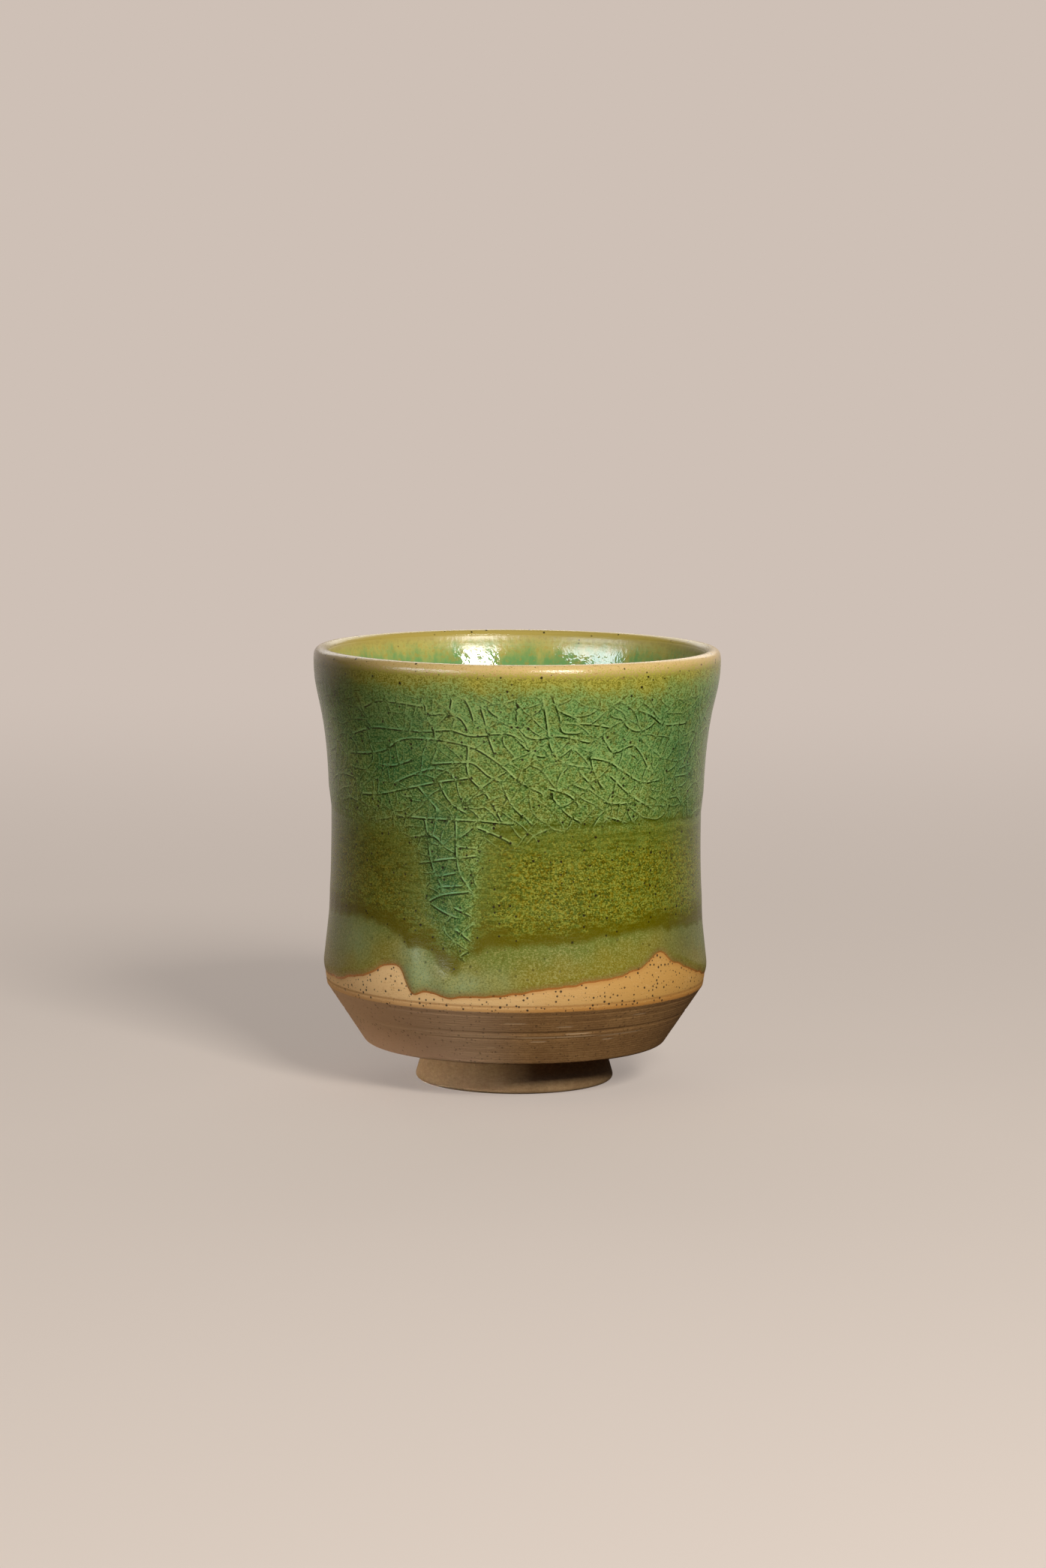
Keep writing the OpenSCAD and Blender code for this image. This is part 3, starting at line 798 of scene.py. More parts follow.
def stamp(net, field, points):  # takes a new crack into the field
    room, span, reach = field["room"], field["span"], net["reach"]
    for u, v in points:
        row, column = cellOf(net, field, u, v)
        up, down = max(row - reach, 0), min(row + reach + 1, len(room))
        across = (column + span) % room.shape[1]
        part = field["disc"][up - row + reach:down - row + reach]
        room[up:down, across] = np.minimum(room[up:down, across], part)


def freeRun(net, field, u, v, way):  # open length of a line to both sides of a spot
    free = 0
    for sign in (1, -1):
        run = net["step"]
        while run < net["open"]:
            row, column = cellOf(net, field, u + sign * run * math.cos(way), v + sign * run * math.sin(way))
            if not 0 <= row < len(field["room"]) or field["room"][row, column] <= net["cell"]:
                break
            run += net["step"]
        free += run
    return free


def crackWay(net, field, u, v):  # with the lean of the place or across it, whichever is shorter there
    lean = np.interp(u / wallDegree, *np.array(net["lean"]).T, period=360) + draw.normal(0, net["leanStray"])
    ways = [math.radians(lean), math.radians(lean + net["crossing"] + draw.normal(0, net["crossStray"]))]
    lengths = [freeRun(net, field, u, v, way) for way in ways]
    return ways[int(lengths[0] > lengths[1] * draw.uniform(*net["favour"]))]


def trace(net, field, u, v, heading):  # grows one way until it meets a crack or leaves the glaze
    points = []
    turn = draw.normal(0, net["turn"])
    for _ in range(net["longest"]):
        u, v = u + net["step"] * math.cos(heading), v + net["step"] * math.sin(heading)
        row, column = cellOf(net, field, u, v)
        if not (0 <= row < len(field["room"]) and field["inside"][row, column]):
            break
        points.append((u, v))
        if field["room"][row, column] < net["cell"] * net["meet"]:
            break
        heading += math.radians(draw.normal(turn, net["wander"]))
    return points


def growCraze(net):
    field = crazeField(net)
    room, want = field["room"], field["want"]
    grown = []
    for line in mainCracks:
        line = np.array(line, float) * (wallDegree, 1)
        knots = runAlong(line)
        along = np.arange(0, knots[-1], net["step"])
        points = np.column_stack([smoothThrough(along, knots, line[:, i]) for i in (0, 1)])
        grown.append((points, net["mainStrength"], net["mainWidth"]))
        stamp(net, field, points)
    for _ in range(net["most"]):
        row, column = np.unravel_index((room / want).argmax(), room.shape)
        if room[row, column] < want[row, column]:
            break
        u, v = (column + draw.random()) * net["cell"], net["bottom"] + (row + draw.random()) * net["cell"]
        way = crackWay(net, field, u, v)
        points = trace(net, field, u, v, way + math.pi)[::-1] + [(u, v)] + trace(net, field, u, v, way)
        if len(points) < net["fewest"]:
            room[row, column] = 0
            continue
        strength, width = draw.uniform(*net["fineStrengths"]), draw.uniform(*net["fineWidths"])
        grown.append((np.array(points), strength, width))
        stamp(net, field, points)
    return grown


cracks = growCraze(crazeNet)
crazeLength = sum(len(points) for points, _, _ in cracks) * crazeNet["step"]
print("craze grown:", len(cracks), "cracks,", round(crazeLength), "mm")


# crackled dip: a skin with points across every crack, and a plain one behind it
crackleRim = glazeTop + lipLength + crackleCoat["overLip"]
crackleSkin = {  # start, end and gap of its points
    "hemGap": 0.5, "hemSteps": 8000, "seamRows": 300, "rimColumns": 520, "stationGap": 3,
    "groundAround": (0.6, mapWidth, 1.15), "groundUp": (28, 84.5, 1.1), "groundStray": 0.3,
    "groundClear": 0.7, "lipAround": (0.4, mapWidth - 0.2, 0.85), "lipUp": (84.6, crackleRim, 0.33),
    "margin": 0.15, "hemMargin": 0.2,
    "backAround": (1.5, mapWidth - 1, 2.5), "backUp": (30, 90, 2.5), "backRim": 0.5, "backHem": 0.6,
    "toneMargin": 0.05, "rimFade": 0.8, "rimSunk": 0.06, "weld": 0.001, "exact": 0.00001, "digits": 3,
}


def crackStations(net):  # place, upper right side (the one given painted light), strength and width along every crack
    stations = []
    for points, strength, width in cracks:
        along = np.gradient(points, axis=0)
        side = np.column_stack((-along[:, 1], along[:, 0])) / np.hypot(*along.T)[:, None]
        side = side * np.where(side @ net["litFrom"] < 0, -1, 1)[:, None]
        angle, height = points[:, 0] / wallDegree, points[:, 1]
        drop = crackDrop(angle)
        fade = smoothStep(height, *(net["top"] + np.array(net["topFade"])))
        fade = fade * smoothStep(height - crackleHem(angle), -drop, -drop / 4)
        along = np.arange(len(points)) * net["step"]
        wave = np.sin(along * draw.uniform(*net["breakPaces"]) + draw.uniform(*net["breakStarts"]))
        broken = net["breakMean"] + net["breakDepth"] * wave * draw.uniform(*net["breakShares"])
        strengths, widths = strength * fade * broken, np.full(len(points), width)
        stations.append(np.column_stack((points[:, 0] % mapWidth, height, side, strengths, widths)))
    return stations


def crackTree(every):
    tree = kdtree.KDTree(3 * len(every))
    for shift in (-1, 0, 1):
        for i, (u, v) in enumerate(every[:, :2]):
            tree.insert((u + shift * mapWidth, v, 0), i)
    tree.balance()
    return tree


def lowEdge(u):
    return crackleFoot(u / wallDegree)


def gridPoints(around, up):
    return np.stack(np.meshgrid(np.arange(*around), np.arange(*up)), axis=-1).reshape(-1, 2)


def skinEdge(skin):
    across = np.linspace(0, mapWidth, skin["hemSteps"])
    run = runAlong(np.column_stack((across, lowEdge(across))))
    hemU = np.interp(np.linspace(0, run[-1], int(run[-1] / skin["hemGap"])), run, across)
    seam = np.linspace(lowEdge(0.0), crackleRim, skin["seamRows"])[1:-1]
    edge = [(u, lowEdge(u)) for u in hemU[:-1]] + [(mapWidth, lowEdge(0.0))]
    edge += [(mapWidth, v) for v in seam]
    edge += [(u, crackleRim) for u in np.linspace(mapWidth, 0, skin["rimColumns"])]
    return edge + [(0, v) for v in seam[::-1]]


def frontPoints(net, skin, stations, tree):
    reaches = np.array([reach for reach, _ in net["acrossTone"]])
    rows = [station[::skin["stationGap"]] for station in stations if len(station)]
    rows = [row[:, None, :2] + (row[:, 2:4] * row[:, 5:])[:, None] * reaches[:, None] for row in rows]
    across = np.vstack([row.reshape(-1, 2) for row in rows])
    ground = gridPoints(skin["groundAround"], skin["groundUp"])
    ground = ground + draw.uniform(-skin["groundStray"], skin["groundStray"], ground.shape)
    ground = np.array([spot for spot in ground if tree.find((*spot, 0))[2] > skin["groundClear"]])
    spots = np.vstack((across, ground, gridPoints(skin["lipAround"], skin["lipUp"])))
    u, v = spots.T
    clear = (u > skin["margin"]) & (u < mapWidth - skin["margin"]) & (v < crackleRim - skin["margin"])
    return spots[clear & (v > lowEdge(u) + skin["hemMargin"])]


def backPoints(skin):
    spots = gridPoints(skin["backAround"], skin["backUp"])
    u, v = spots.T
    return spots[(v > lowEdge(u) + skin["backHem"]) & (v < crackleRim - skin["backRim"])]


def flatSkin(skin, edge, points):  # triangles inside the edge, welded where its two ends meet round the cup
    spots = [Vector(spot) for spot in edge] + [Vector(spot) for spot in points]
    loop, insideOnly = [list(range(len(edge)))], 1
    flat, _, faces, _, _, _ = geometry.delaunay_2d_cdt(spots, [], loop, insideOnly, skin["exact"], False)
    flat, faces = np.array([tuple(spot) for spot in flat]), np.array(faces)
    middle = flat[faces].mean(1)
    faces = faces[middle[:, 1] > lowEdge(middle[:, 0])]
    weld = {round(v, skin["digits"]): i for i, (u, v) in enumerate(flat) if u < skin["weld"]}
    swap = np.arange(len(flat))
    for i in np.flatnonzero(flat[:, 0] > mapWidth - skin["weld"]):
        swap[i] = weld[round(flat[i, 1], skin["digits"])]
    return flat, swap[faces]


def crackMarks(net, skin, flat, every, tree):  # tone and ridge of the nearest crack at each point; the tone is painted light and shade across the crack
    tones, ridges = np.zeros(len(flat)), np.zeros(len(flat))
    reaches, values = np.array(net["acrossTone"]).T
    for i, (u, v) in enumerate(flat):
        _, nearest, gap = tree.find((u, v, 0))
        if gap < reaches[-1] * net["mainWidth"] + skin["toneMargin"]:
            crackU, crackV, sideU, sideV, strength, width = every[nearest]
            across = away((u - crackU) / mapWidth * 360, 0) / 360 * mapWidth
            lateral = (across * sideU + (v - crackV) * sideV) / width
            tones[i] = strength * np.interp(lateral, reaches, values, 0, 0)
            ridge = math.exp(-(((lateral - net["ridgeMiddle"]) / net["ridgeReach"]) ** 2))
            ridges[i] = strength * net["ridge"] * ridge
    return tones, ridges


def sewn(skin, flat, faces, backFlat, backFaces):  # both skins, and a wall between them along hem and rim
    count, digits = len(flat), skin["digits"]
    backAt = {(round(u, digits), round(v, digits)): i + count for i, (u, v) in enumerate(backFlat)}
    pairs = {(a, b) for face in faces.tolist() for a, b in zip(face, face[1:] + face[:1])}
    rims = [(a, b) for a, b in pairs if (b, a) not in pairs]
    twin = {a: backAt[tuple(flat[a].round(digits))] for pair in rims for a in pair}
    walls = [[b, a, twin[a], twin[b]] for a, b in sorted(rims)]
    return faces.tolist() + (backFaces[:, ::-1] + count).tolist() + walls


def cracklePiece(net, skin):
    stations = crackStations(net)
    every = np.vstack(stations)
    tree = crackTree(every)
    edge = skinEdge(skin)
    flat, faces = flatSkin(skin, edge, frontPoints(net, skin, stations, tree))
    backFlat, backFaces = flatSkin(skin, edge, backPoints(skin))
    tones, ridges = crackMarks(net, skin, flat, every, tree)

    angle, level = flat[:, 0] / wallDegree, flat[:, 1]
    over = smoothStep(level, crackleRim, glazeTop + skin["rimFade"])
    front = wallPoint(angle, level, crackleTop(angle, level) * over - skin["rimSunk"] * (1 - over) + ridges)
    backAngle, backLevel = backFlat[:, 0] / wallDegree, backFlat[:, 1]
    under = smoothStep(backLevel, crackleRim, glazeTop)
    backTop = (oliveTop(backAngle, backLevel) - coatShape["bond"]) * under - 2 * coatShape["bond"]
    back = wallPoint(backAngle, backLevel, backTop)

    readings = glazeReadings(np.append(angle, backAngle), np.append(level, backLevel))
    # craze: painted light and shade across each crack, with the dark crack line
    readings["craze"] = np.append(tones, np.zeros(len(backFlat)))
    faces = sewn(skin, flat, faces, backFlat, backFaces)
    return meshFrom("crackleGlaze", np.vstack((front, back)), faces, readings)


crackleGlaze = cracklePiece(crazeNet, crackleSkin)
crackleMaterial = finish("crackleGlaze", dippedLook, crackleCoat["relief"], dippedGloss)
dress(crackleGlaze, "crackle_glaze", crackleMaterial)


# clay body: turned cone, arris and bare band
clayColours = {
    "inks": {
        # the pale band and cone inks also paint light on the cup's left side; the band's pale ink also serves
        # as a random paler tone
        "band": (206, 158, 84), "bandPale": (240, 204, 148), "bandToast": (190, 132, 62),
        "bandLine": (166, 114, 54), "cone": (174, 134, 84), "coneDark": (146, 108, 64),
        "conePale": (198, 168, 136), "scratch": (206, 176, 138), "foot": (196, 162, 118),
        "footDark": (160, 126, 86), "slip": (150, 120, 84), "speck": (30, 20, 10),
    },
    "noises": {},
    "effects": {
        "toasted": between(1.3, 0.3, tone=0.6), "hemToasted": between(-1.0, 0.0, 0.0, 0.6, tone=0.4),
        "toastSide": between(0.0, 1.0, 0.5, 0.9),
        "bandPale": between(0.1, 0.7, 0.0, 0.5), "bandToast": between(-0.1, -0.7, 0.0, 0.5),
        "lineFrom": between(0.8, 1.05), "lineTo": between(1.5, 1.2, 0.0, 0.6),
        "cone": between(-0.35, 0.45), "conePale": between(0.6, 0.0, 0.0, 0.8),
        "arris": between(-0.15, 0.1, tone=0.25),
        "bandSpecks": between(-0.3, 0.1, 0.45, 0.9), "matt": between(-0.6, 0.6, 0.9, 0.74),
        "foot": between(-0.6, 0.7), "footEdge": between(0.7, 0.1, 0.0, 0.35),
        "footMatt": between(-0.6, 0.6, 0.88, 0.76), "slipMatt": between(-0.6, 0.6, 0.92, 0.8),
    },
    "specks": {"Spacing": 0.8, "Size": 0.25, "Share": 0.55},
    "dust": {"Spacing": 0.5, "Size": 0.12, "Share": 0.4}, "dustShare": 0.6,
    "footSpecks": {"Spacing": 1.3, "Size": 0.14, "Share": 0.25}, "footSpeckShare": 0.5,
}
clayGloss = {"Specular IOR Level": 0.3}
clayShape = {
    "columns": 400, "baseGap": 0.8, "coneRows": 84, "bandRows": 46, "bandTop": 33.0, "wallRows": 18,
    "lipRows": 9, "innerRows": 36, "straight": 0.001, "coneEnds": ((0, 0.04), (1, 0.97)),
    # share of the cone's height, depth and reach
    "grooves": [(0.58, 0.09, 0.35), (0.46, 0.05, 0.25), (0.2, 0.03, 0.4), (0.8, 0.04, 0.3),
                (0.93, 0.05, 0.3)],
    "grooveMean": 0.75, "grooveSway": 0.35, "grooveClimb": 40,
    "chatter": 0.012, "chatterGap": 0.62, "chatterSway": 0.5, "chatterClimb": 9,
    "scratchReach": 0.12, "scratchCore": 0.6,
    "bandLine": (1.15, 0.05, 0.22), "bandSway": 0.012, "swayFrom": 0.2,
    # warmSide: middle of the toasted side; away from it, on the left, band and cone are paler as painted
    # light
    "warmSide": 340, "warmFade": (-0.2, 1.0), "offGlaze": -9, "drag": 4.0, "relief": 0.06,
}
coneScratches = [  # angle, share of the cone's height, half length in degrees, depth
    (278, 0.42, 3.0, 0.05), (291, 0.55, 5.0, 0.05), (303, 0.4, 2.5, 0.06), (262, 0.3, 1.6, 0.05),
    (250, 0.72, 2.0, 0.05), (312, 0.83, 3.0, 0.05), (236, 0.5, 2.2, 0.05), (258, 0.52, 14.0, 0.03),
    (284, 0.5, 16.0, 0.03), (226, 0.54, 9.0, 0.03), (308, 0.48, 11.0, 0.03), (270, 0.78, 4.0, 0.03),
    (286, 0.7, 3.0, 0.03), (30, 0.4, 4.0, 0.05), (95, 0.62, 5.0, 0.05), (60, 0.5, 14.0, 0.03),
    (120, 0.52, 16.0, 0.03), (175, 0.5, 14.0, 0.03), (150, 0.35, 3.0, 0.05),
]
turningRipples = (6, 1, 5)
turningSway = ripples(*turningRipples)


def coneMarks(shape, coneShare, run, angle):  # depth of the turning marks on the cone, and its scratches
    dent = 0 * angle + 0 * coneShare
    for share, depth, reach in shape["grooves"]:
        uneven = shape["grooveMean"] + shape["grooveSway"] * turningSway(angle, share * shape["grooveClimb"])
        dent = dent + depth * np.exp(-((coneShare - share) * run / reach) ** 2) * uneven
    sway = shape["chatterSway"] * turningSway(angle, coneShare * shape["chatterClimb"])
    dent = dent + shape["chatter"] * np.sin(coneShare * run * 2 * np.pi / shape["chatterGap"] + sway)
    scratch = 0 * dent
    for middle, share, half, depth in coneScratches:
        mark = np.exp(-((coneShare - share) * run / shape["scratchReach"]) ** 2)
        mark = mark * smoothStep(abs(away(angle, middle)), half, half * shape["scratchCore"])
        dent, scratch = dent + depth * mark, np.maximum(scratch, mark)
    for ends in shape["coneEnds"]:
        dent = dent * smoothStep(coneShare, *ends)
    return np.where(coneShare < 0, 0, dent), scratch


def clayPiece(shape):
    angle = turnAngles(shape["columns"])

    # underneath and up the cone
    lean = np.arctan2(*(arris - underLine[:-1]).T)
    edgeEnd = int(np.argmax(abs(lean - lean[-1]) < shape["straight"]))  # last ring of the softened base edge
    coneFoot = underLine[edgeEnd]
    base = [np.linspace(a, b, math.ceil(np.hypot(*(b - a)) / shape["baseGap"]), endpoint=False)
            for a, b in zip(underLine[:edgeEnd], underLine[1:edgeEnd + 1])]
    cone = np.linspace(coneFoot, arris, shape["coneRows"], endpoint=False)
    lower = np.vstack((*base, cone))
    coneShare = np.full((len(lower), 1), -1.0)
    coneShare[-len(cone):, 0] = np.linspace(0, 1, len(cone), endpoint=False)
    run = np.hypot(*(arris - coneFoot))
    outward = np.array((arris[1] - coneFoot[1], coneFoot[0] - arris[0])) / run
    dent, scratch = coneMarks(shape, coneShare, run, angle)
    lowerRows = spun(angle, lower[:, 0, None] - outward[0] * dent, lower[:, 1, None] - outward[1] * dent)

    # up the wall, over the lip and down to the middle of the floor
    bandEnd, lipFirst, lipLast = wallAlong(shape["bandTop"]), profileAlong[lipStart], profileAlong[lipEnd]
    band = np.linspace(0, bandEnd, shape["bandRows"], endpoint=False)
    rest = stretches((bandEnd, lipFirst, shape["wallRows"]), (lipFirst, lipLast, shape["lipRows"]),
                     (lipLast, profileAlong[-1], shape["innerRows"]))
    along = np.concatenate((band, rest))[:, None]
    middle, depth, reach = shape["bandLine"]
    sway = shape["bandSway"] * turningSway(angle, along) * (along > shape["swayFrom"])
    upperRows = turned(angle, along + 0 * angle, -depth * np.exp(-((along - middle) / reach) ** 2) + sway)

    overHem = np.interp(along, profileAlong, profileZ) - paleHem(angle)
    # the toast reading is 1 on the toasted right and 0 on the left, where band and cone get painted light
    readings = {"bandGap": np.vstack((-(1 - coneShare) * run, along)),
                "rightToastLeftLit": smoothStep(np.cos(np.radians(angle - shape["warmSide"])), *shape["warmFade"]),
                "scratch": np.vstack((scratch, 0 * overHem)),
                "hemGap": np.vstack((0 * dent + shape["offGlaze"], overHem))}
    return turnedMesh("clayBody", np.concatenate((lowerRows, upperRows)), readings, poles=True)


def clayPaint(tree, drag):
    grain = use(tree, clayGrain, Drag=drag)
    ink, noise, fade, lay = paintBox(tree, clayColours)
    noise["tone"] = calc(tree, "ADD", grain["Tone"], 0.5)  # about a half, as the noises are
    return grain["Tone"], grain["Height"], ink, fade, lay


def bareClayLook(tree):
    tone, height, ink, fade, lay = clayPaint(tree, clayShape["drag"])
    bandGap, paleGap = reading(tree, "bandGap"), reading(tree, "hemGap")
    scratch, rightToastLeftLit = reading(tree, "scratch"), reading(tree, "rightToastLeftLit")
    # painted light: the band is paler on the left, away from the toasted side
    band = blend(tree, rightToastLeftLit, ink["bandPale"], ink["band"])
    band = lay(band, "bandPale", tone, "bandPale")
    band = lay(band, "bandToast", tone, "bandToast")
    toast = calc(tree, "MAXIMUM", fade("toasted", bandGap), fade("hemToasted", paleGap))
    band = blend(tree, times(tree, toast, fade("toastSide", rightToastLeftLit)), band, ink["bandToast"])
    # painted shade: a darker line along the turned groove just above the arris
    band = blend(tree, times(tree, fade("lineFrom", bandGap), fade("lineTo", bandGap)), band, ink["bandLine"])
    cone = lay(ink["coneDark"], "cone", tone, "cone")
    # painted light: the cone is paler on the left
    cone = lay(cone, "conePale", rightToastLeftLit, "conePale")
    cone = blend(tree, scratch, cone, ink["scratch"])
    colour = blend(tree, fade("arris", bandGap), cone, band)
    specks, dust = (use(tree, ironSpecks, **clayColours[name])["Mask"] for name in ("specks", "dust"))
    specks = calc(tree, "MAXIMUM", specks, times(tree, dust, clayColours["dustShare"]))
    colour = blend(tree, times(tree, specks, fade("bandSpecks", bandGap)), colour, ink["speck"])
    return colour, fade("matt", tone), height


clayBody = clayPiece(clayShape)
dress(clayBody, "clay_cup", finish("bareClay", bareClayLook, clayShape["relief"], clayGloss))


# foot ring and the slip that holds it
footShape = {"columns": 360, "spacing": 0.3, "turning": 0.012, "ripples": (6, 1, 5), "drag": 2.5,
             "relief": 0.05}
slipShape = {"columns": 300, "spacing": 0.12, "turning": 0.05, "ripples": (12, 4, 40), "drag": 1.0,
             "relief": 0.06}
ringShape = {"weld": 0.02, "climb": 3, "restTop": 0.4}  # the resting face stays flat up to restTop


def ringSection(node, spacing):  # closed section of a ring, from its lowest inner corner round
    rings = nodeRings(node)
    middle = (rings.max(0) + rings.min(0)) / 2
    loop = spaced(rings[np.argsort(np.arctan2(*(rings - middle).T[::-1]))], ringShape["weld"])
    loop = np.vstack((loop, loop[:1]))
    knots = runAlong(loop)
    along = np.linspace(0, knots[-1], int(knots[-1] / spacing), endpoint=False)
    return np.column_stack([np.interp(along, knots, loop[:, i]) for i in (0, 1)])


def ringPiece(name, node, shape):
    angle = turnAngles(shape["columns"])
    sway = ripples(*shape["ripples"])
    radius, height = ringSection(node, shape["spacing"]).T[:, :, None]
    wave = shape["turning"] * sway(angle, height * ringShape["climb"]) * (height > ringShape["restTop"])
    return turnedMesh(name, spun(angle, radius + wave, height), {"rise": height})


def footLook(tree):
    tone, height, ink, fade, lay = clayPaint(tree, footShape["drag"])
    colour = lay(ink["footDark"], "foot", tone, "foot")
    colour = lay(colour, "footEdge", reading(tree, "rise"), "scratch")
    specks = use(tree, ironSpecks, **clayColours["footSpecks"])["Mask"]
    colour = blend(tree, times(tree, specks, clayColours["footSpeckShare"]), colour, ink["speck"])
    return colour, fade("footMatt", tone), height


def slipLook(tree):
    tone, height, ink, fade, lay = clayPaint(tree, slipShape["drag"])
    return lay(ink["coneDark"], "foot", tone, "slip"), fade("slipMatt", tone), height


footRing = ringPiece("footRing", "foot_ring", footShape)
dress(footRing, "foot_ring", finish("footClay", footLook, footShape["relief"], clayGloss))
footSlip = ringPiece("footSlip", "foot_slip", slipShape)
dress(footSlip, "foot_slip", finish("lutingSlip", slipLook, slipShape["relief"], clayGloss))


# lining glaze, poured inside
liningColours = {
    "inks": {"rim": rimInk, "upper": (198, 188, 102), "lower": (120, 168, 100), "deep": (84, 128, 58),
             "streak": (186, 156, 66), "speck": (60, 52, 14)},
    "noises": {"runs": (2.4, 3.0, 0.6, 0.4), "patch": (6.0, 2.0), "mottle": (0.9, 3.0, 0.6),
               "pits": (1.5, 2.0, 0.6)},
    "effects": {
        "lower": between(0.0, 5.5, runs=9.0), "deep": between(28.0, 68.0, runs=9.0, patch=20.0),
        "streak": between(0.52, 0.66, 0.0, 0.45), "dapple": between(0.48, 0.34, 0.0, 0.35),
        "worn": between(0.8, -0.6, 0.0, 0.85, mottle=5.0), "satin": between(0.2, 4.0, 0.36, 0.07),
    },
    "specks": {"Spacing": 1.8, "Size": 0.2, "Share": 0.25}, "speckShare": 0.7, "pitDepth": 1.2,
}
liningGloss = {"Specular IOR Level": 0.7}
liningShape = {
    "columns": 400, "rows": (16, 110, 22), "backEvery": 6, "start": 2.2, "lipReach": 1, "floorReach": 16,
    "poleGap": 0.4, "thickness": 0.4, "rise": 3.0, "sunk": 0.06, "pool": 0.5, "poolRise": 17,
    "rings": 0.03, "ringGap": 7.5, "ringsFrom": (3, 14), "ringsTo": 6,
    "sway": 0.03, "swayRipples": (8, 1, 9), "swayClimb": 0.6, "swayFrom": 5, "relief": 0.06,
}


def liningPiece(shape):
    angle = turnAngles(shape["columns"])
    lipInside, floorMiddle = profileAlong[lipEnd], profileAlong[-1]
    ends = (lipInside - shape["start"], lipInside + shape["lipReach"],
            floorMiddle - shape["floorReach"], floorMiddle - shape["poleGap"])
    down = stretches(*zip(ends, ends[1:], shape["rows"]))[:, None]
    height = np.interp(down, profileAlong, profileZ)
    pool = shape["pool"] * np.clip((floorTop + shape["poolRise"] - height) / shape["poolRise"], 0, 1) ** 2
    rings = shape["rings"] * np.sin(2 * np.pi * height / shape["ringGap"])
    rings = rings * smoothStep(height, *(floorTop + np.array(shape["ringsFrom"])))
    rings = rings * smoothStep(height, glazeTop, glazeTop - shape["ringsTo"])
    rise = smoothStep(down - down[0], 0, shape["rise"])
    front = coatShape["bond"] + shape["thickness"] * lipThinning(height) + pool + rings
    front = front * rise - shape["sunk"] * (1 - rise)
    wave = shape["sway"] * ripples(*shape["swayRipples"])(angle, down * shape["swayClimb"])
    front = front + wave * smoothStep(down - down[0], 0, shape["swayFrom"])
    backDown = down[::-shape["backEvery"]]
    back = 0 * angle - 2 * coatShape["bond"]
    rows = np.concatenate((turned(angle, backDown + 0 * angle, back), turned(angle, down + 0 * angle, front)))
    depth = glazeTop - np.interp(np.concatenate((backDown, down)), profileAlong, profileZ)
    return turnedMesh("liningGlaze", rows, {"depth": depth}, poles=True)


def liningLook(tree):
    ink, noise, fade, lay = paintBox(tree, liningColours)
    depth = reading(tree, "depth")
    colour = lay(ink["upper"], "lower", depth, "lower")
    colour = lay(colour, "deep", depth, "deep")
    colour = lay(colour, "streak", noise["mottle"], "streak")
    colour = lay(colour, "dapple", noise["mottle"], "lower")
    colour = lay(colour, "worn", depth, "rim")
    specks = use(tree, ironSpecks, **liningColours["specks"])["Mask"]
    colour = blend(tree, times(tree, specks, liningColours["speckShare"]), colour, ink["speck"])
    height = calc(tree, "ADD", noise["runs"], times(tree, noise["pits"], liningColours["pitDepth"]))
    return colour, fade("satin", depth), height


liningGlaze = liningPiece(liningShape)
liningMaterial = finish("liningGlaze", liningLook, liningShape["relief"], liningGloss)
dress(liningGlaze, "lining_glaze", liningMaterial)


# stage: one pale sweep of floor and backdrop, in metres
stageShape = {
    "front": -2.6, "back": 1.3, "bend": 0.8, "bendRows": 24, "top": 3.0, "halfWidth": 3.0,
    "wall": (206, 192, 182), "floor": (226, 216, 208),
    "mirrored": (0.05, 0.4), "glowing": (0.1, 0.8, 0.5, 1.0),
    "bounceNear": (206, 184, 160), "bounceFar": (56, 38, 26),
    "nearFrom": (-0.26, -0.1), "nearTo": (0.0, -0.05),
}


def palePaper(shape):  # plain to the eye; it throws more light back from beside the cup on the left
    material = bpy.data.materials.new("palePaper")
    material.use_nodes = True
    tree = material.node_tree
    tree.nodes.clear()
    path = put(tree, "LightPath").outputs
    spot = put(tree, "SeparateXYZ", {0: put(tree, "TexCoord").outputs["Object"]}).outputs
    mirrored = times(tree, path["Is Glossy Ray"], ramp(tree, spot["Y"], *shape["mirrored"]))
    seen = calc(tree, "MAXIMUM", path["Is Camera Ray"], mirrored)
    glow = put(tree, "Emission", {"Color": tint(*shape["wall"]), "Strength": 1.0}).outputs[0]
    paper = put(tree, "BsdfDiffuse", {"Color": tint(*shape["floor"])}).outputs[0]
    glowing = ramp(tree, spot["Y"], *shape["glowing"])
    plain = put(tree, "MixShader", {0: glowing, 1: paper, 2: glow}).outputs[0]
    near = times(tree, ramp(tree, spot["X"], *shape["nearTo"]), ramp(tree, spot["X"], *shape["nearFrom"]))
    bounce = blend(tree, near, tint(*shape["bounceFar"]), tint(*shape["bounceNear"]))
    dim = put(tree, "BsdfDiffuse", {"Color": bounce}).outputs[0]
    both = put(tree, "MixShader", {0: seen, 1: dim, 2: plain}).outputs[0]
    put(tree, "OutputMaterial", {"Surface": both})
    return material


def makeStage(shape):
    turn = np.linspace(0, np.pi / 2, shape["bendRows"])
    bend = np.column_stack((shape["back"] + shape["bend"] * np.sin(turn), shape["bend"] * (1 - np.cos(turn))))
    line = np.vstack(([(shape["front"], 0)], bend, [(shape["back"] + shape["bend"], shape["top"])]))
    points = np.array([(side * shape["halfWidth"], y, z) for y, z in line for side in (-1, 1)])
    faces = [[2 * i, 2 * i + 1, 2 * i + 3, 2 * i + 2] for i in range(len(line) - 1)]
    sweep = meshFrom("sweep", points / mm, faces, {})
    sweep.data.materials.append(palePaper(shape))


makeStage(stageShape)


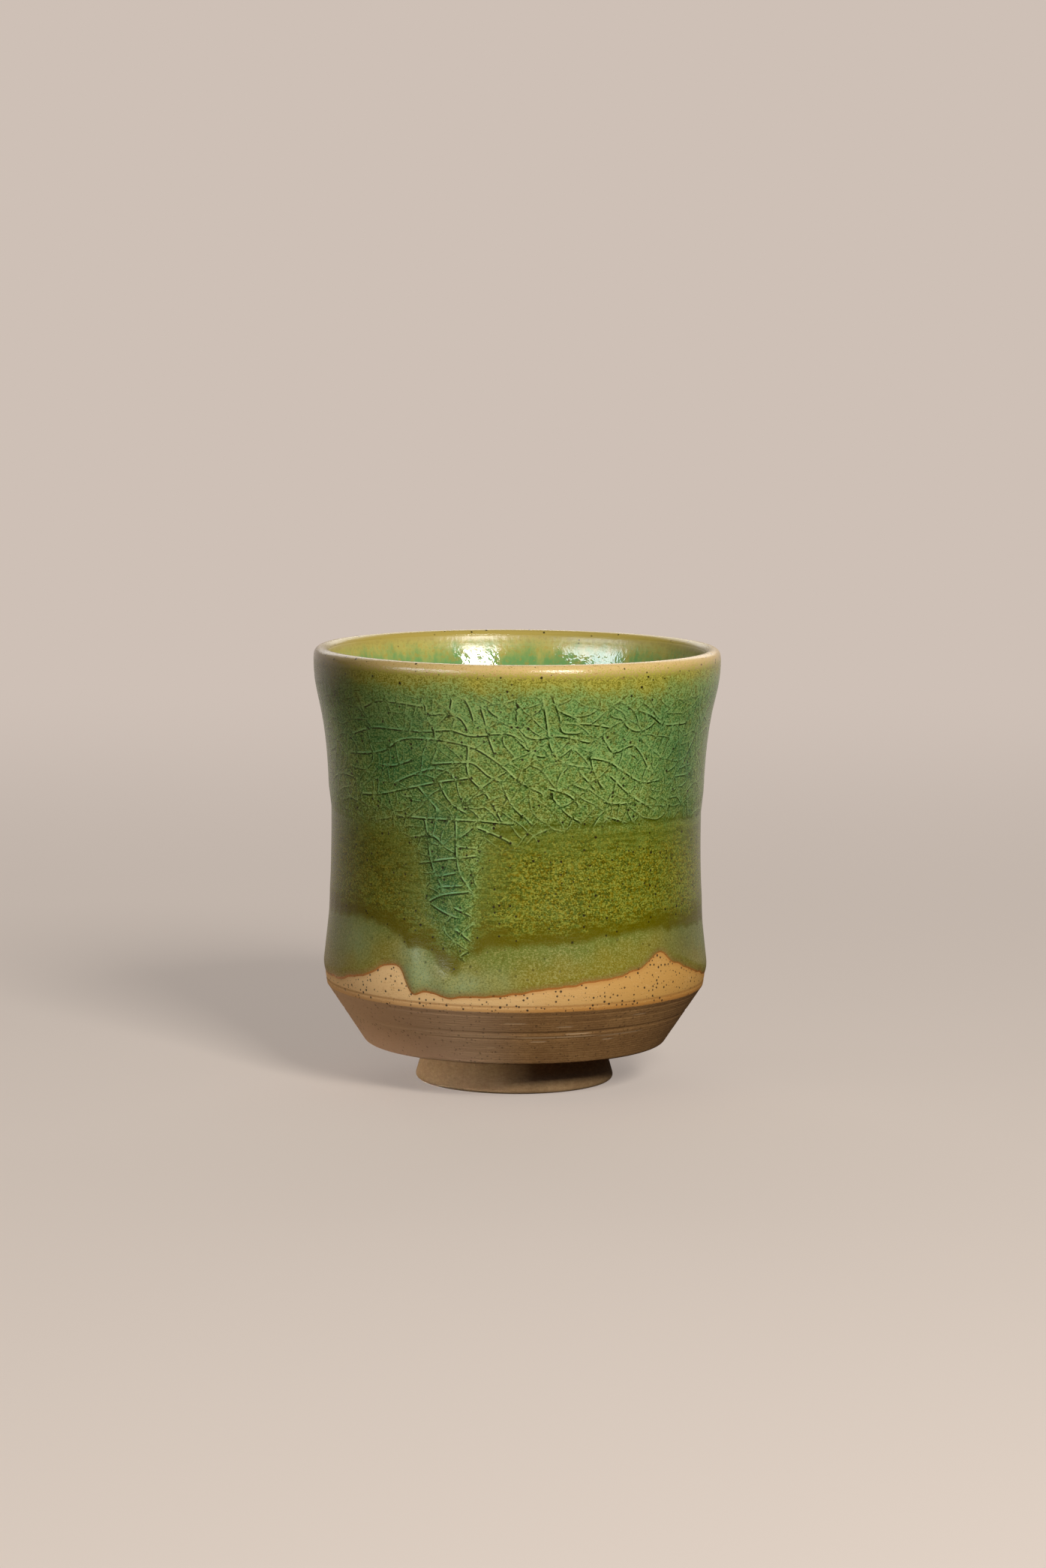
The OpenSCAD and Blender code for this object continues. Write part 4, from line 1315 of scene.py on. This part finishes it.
# light: a soft key from the front right, a cool fill from the left, and a little from all round, in metres
lampAim = Vector((0, 0, 0.05))
lamps = [  # name, degrees to the right and up, distance, width, height, watts, colour, what it is hidden from
    ("keyLamp", 25.5, 32, 1.15, 0.33, 0.34, 12.3, (1.0, 0.94, 0.86), None),
    ("keyEdge", 31, 20.5, 1.15, 0.18, 0.13, 1.8, (1.0, 0.98, 0.95), "visible_diffuse"),
    ("fillLamp", -50, 19, 1.3, 1.05, 0.3, 0.4, (0.88, 0.95, 1.0), None),
    ("fillCard", -51, 19, 1.3, 0.88, 0.27, 8.4, (0.82, 0.91, 1.0), "visible_diffuse"),
    ("lowFill", -84, 3, 1.3, 0.4, 0.12, 1.0, (0.94, 0.97, 1.0), "visible_glossy"),
    ("topLamp", 0, 80, 1.6, 1.4, 1.4, 1.4, (1.0, 0.97, 0.93), None),
    ("backLamp", 180, 30, 1.5, 1.6, 0.8, 6.5, (1.0, 0.97, 0.94), None),
]
footGlow = {"right": -78, "height": 0.004, "distance": 0.4, "size": (0.12, 0.006), "watts": 0.0024,
            "spread": 4, "colour": (1.0, 0.97, 0.92), "aim": (0, 0, 0.001)}  # a slit of light along the floor
surround = {"colour": (1.0, 0.96, 0.92, 1.0), "strength": 0.06}


def towards(right, up):
    right, up = math.radians(right), math.radians(up)
    return Vector((math.sin(right) * math.cos(up), -math.cos(right) * math.cos(up), math.sin(up)))


def hangLamp(name, spot, aim, size, watts, colour, hiddenFrom=None):
    lamp = bpy.data.lights.new(name, "AREA")
    lamp.shape = "RECTANGLE"
    lamp.size, lamp.size_y = size
    lamp.energy = watts
    lamp.color = colour
    holder = bpy.data.objects.new(name, lamp)
    scene.collection.objects.link(holder)
    holder.location = spot
    holder.rotation_euler = (aim - spot).to_track_quat("-Z", "Y").to_euler()
    if hiddenFrom:
        setattr(holder, hiddenFrom, False)
    return lamp


def lightStage():
    for name, right, up, distance, width, height, watts, colour, hiddenFrom in lamps:
        spot = lampAim + towards(right, up) * distance
        hangLamp(name, spot, lampAim, (width, height), watts, colour, hiddenFrom)
    glow = footGlow
    spot = towards(glow["right"], 0) * glow["distance"] + Vector((0, 0, glow["height"]))
    settings = (glow["size"], glow["watts"], glow["colour"], "visible_glossy")
    slit = hangLamp("footGlow", spot, Vector(glow["aim"]), *settings)
    slit.spread = math.radians(glow["spread"])
    scene.world = bpy.data.worlds.new("surround")
    scene.world.use_nodes = True
    background = scene.world.node_tree.nodes["Background"]
    background.inputs["Color"].default_value = surround["colour"]
    background.inputs["Strength"].default_value = surround["strength"]


lightStage()
print("stage and lamps set")
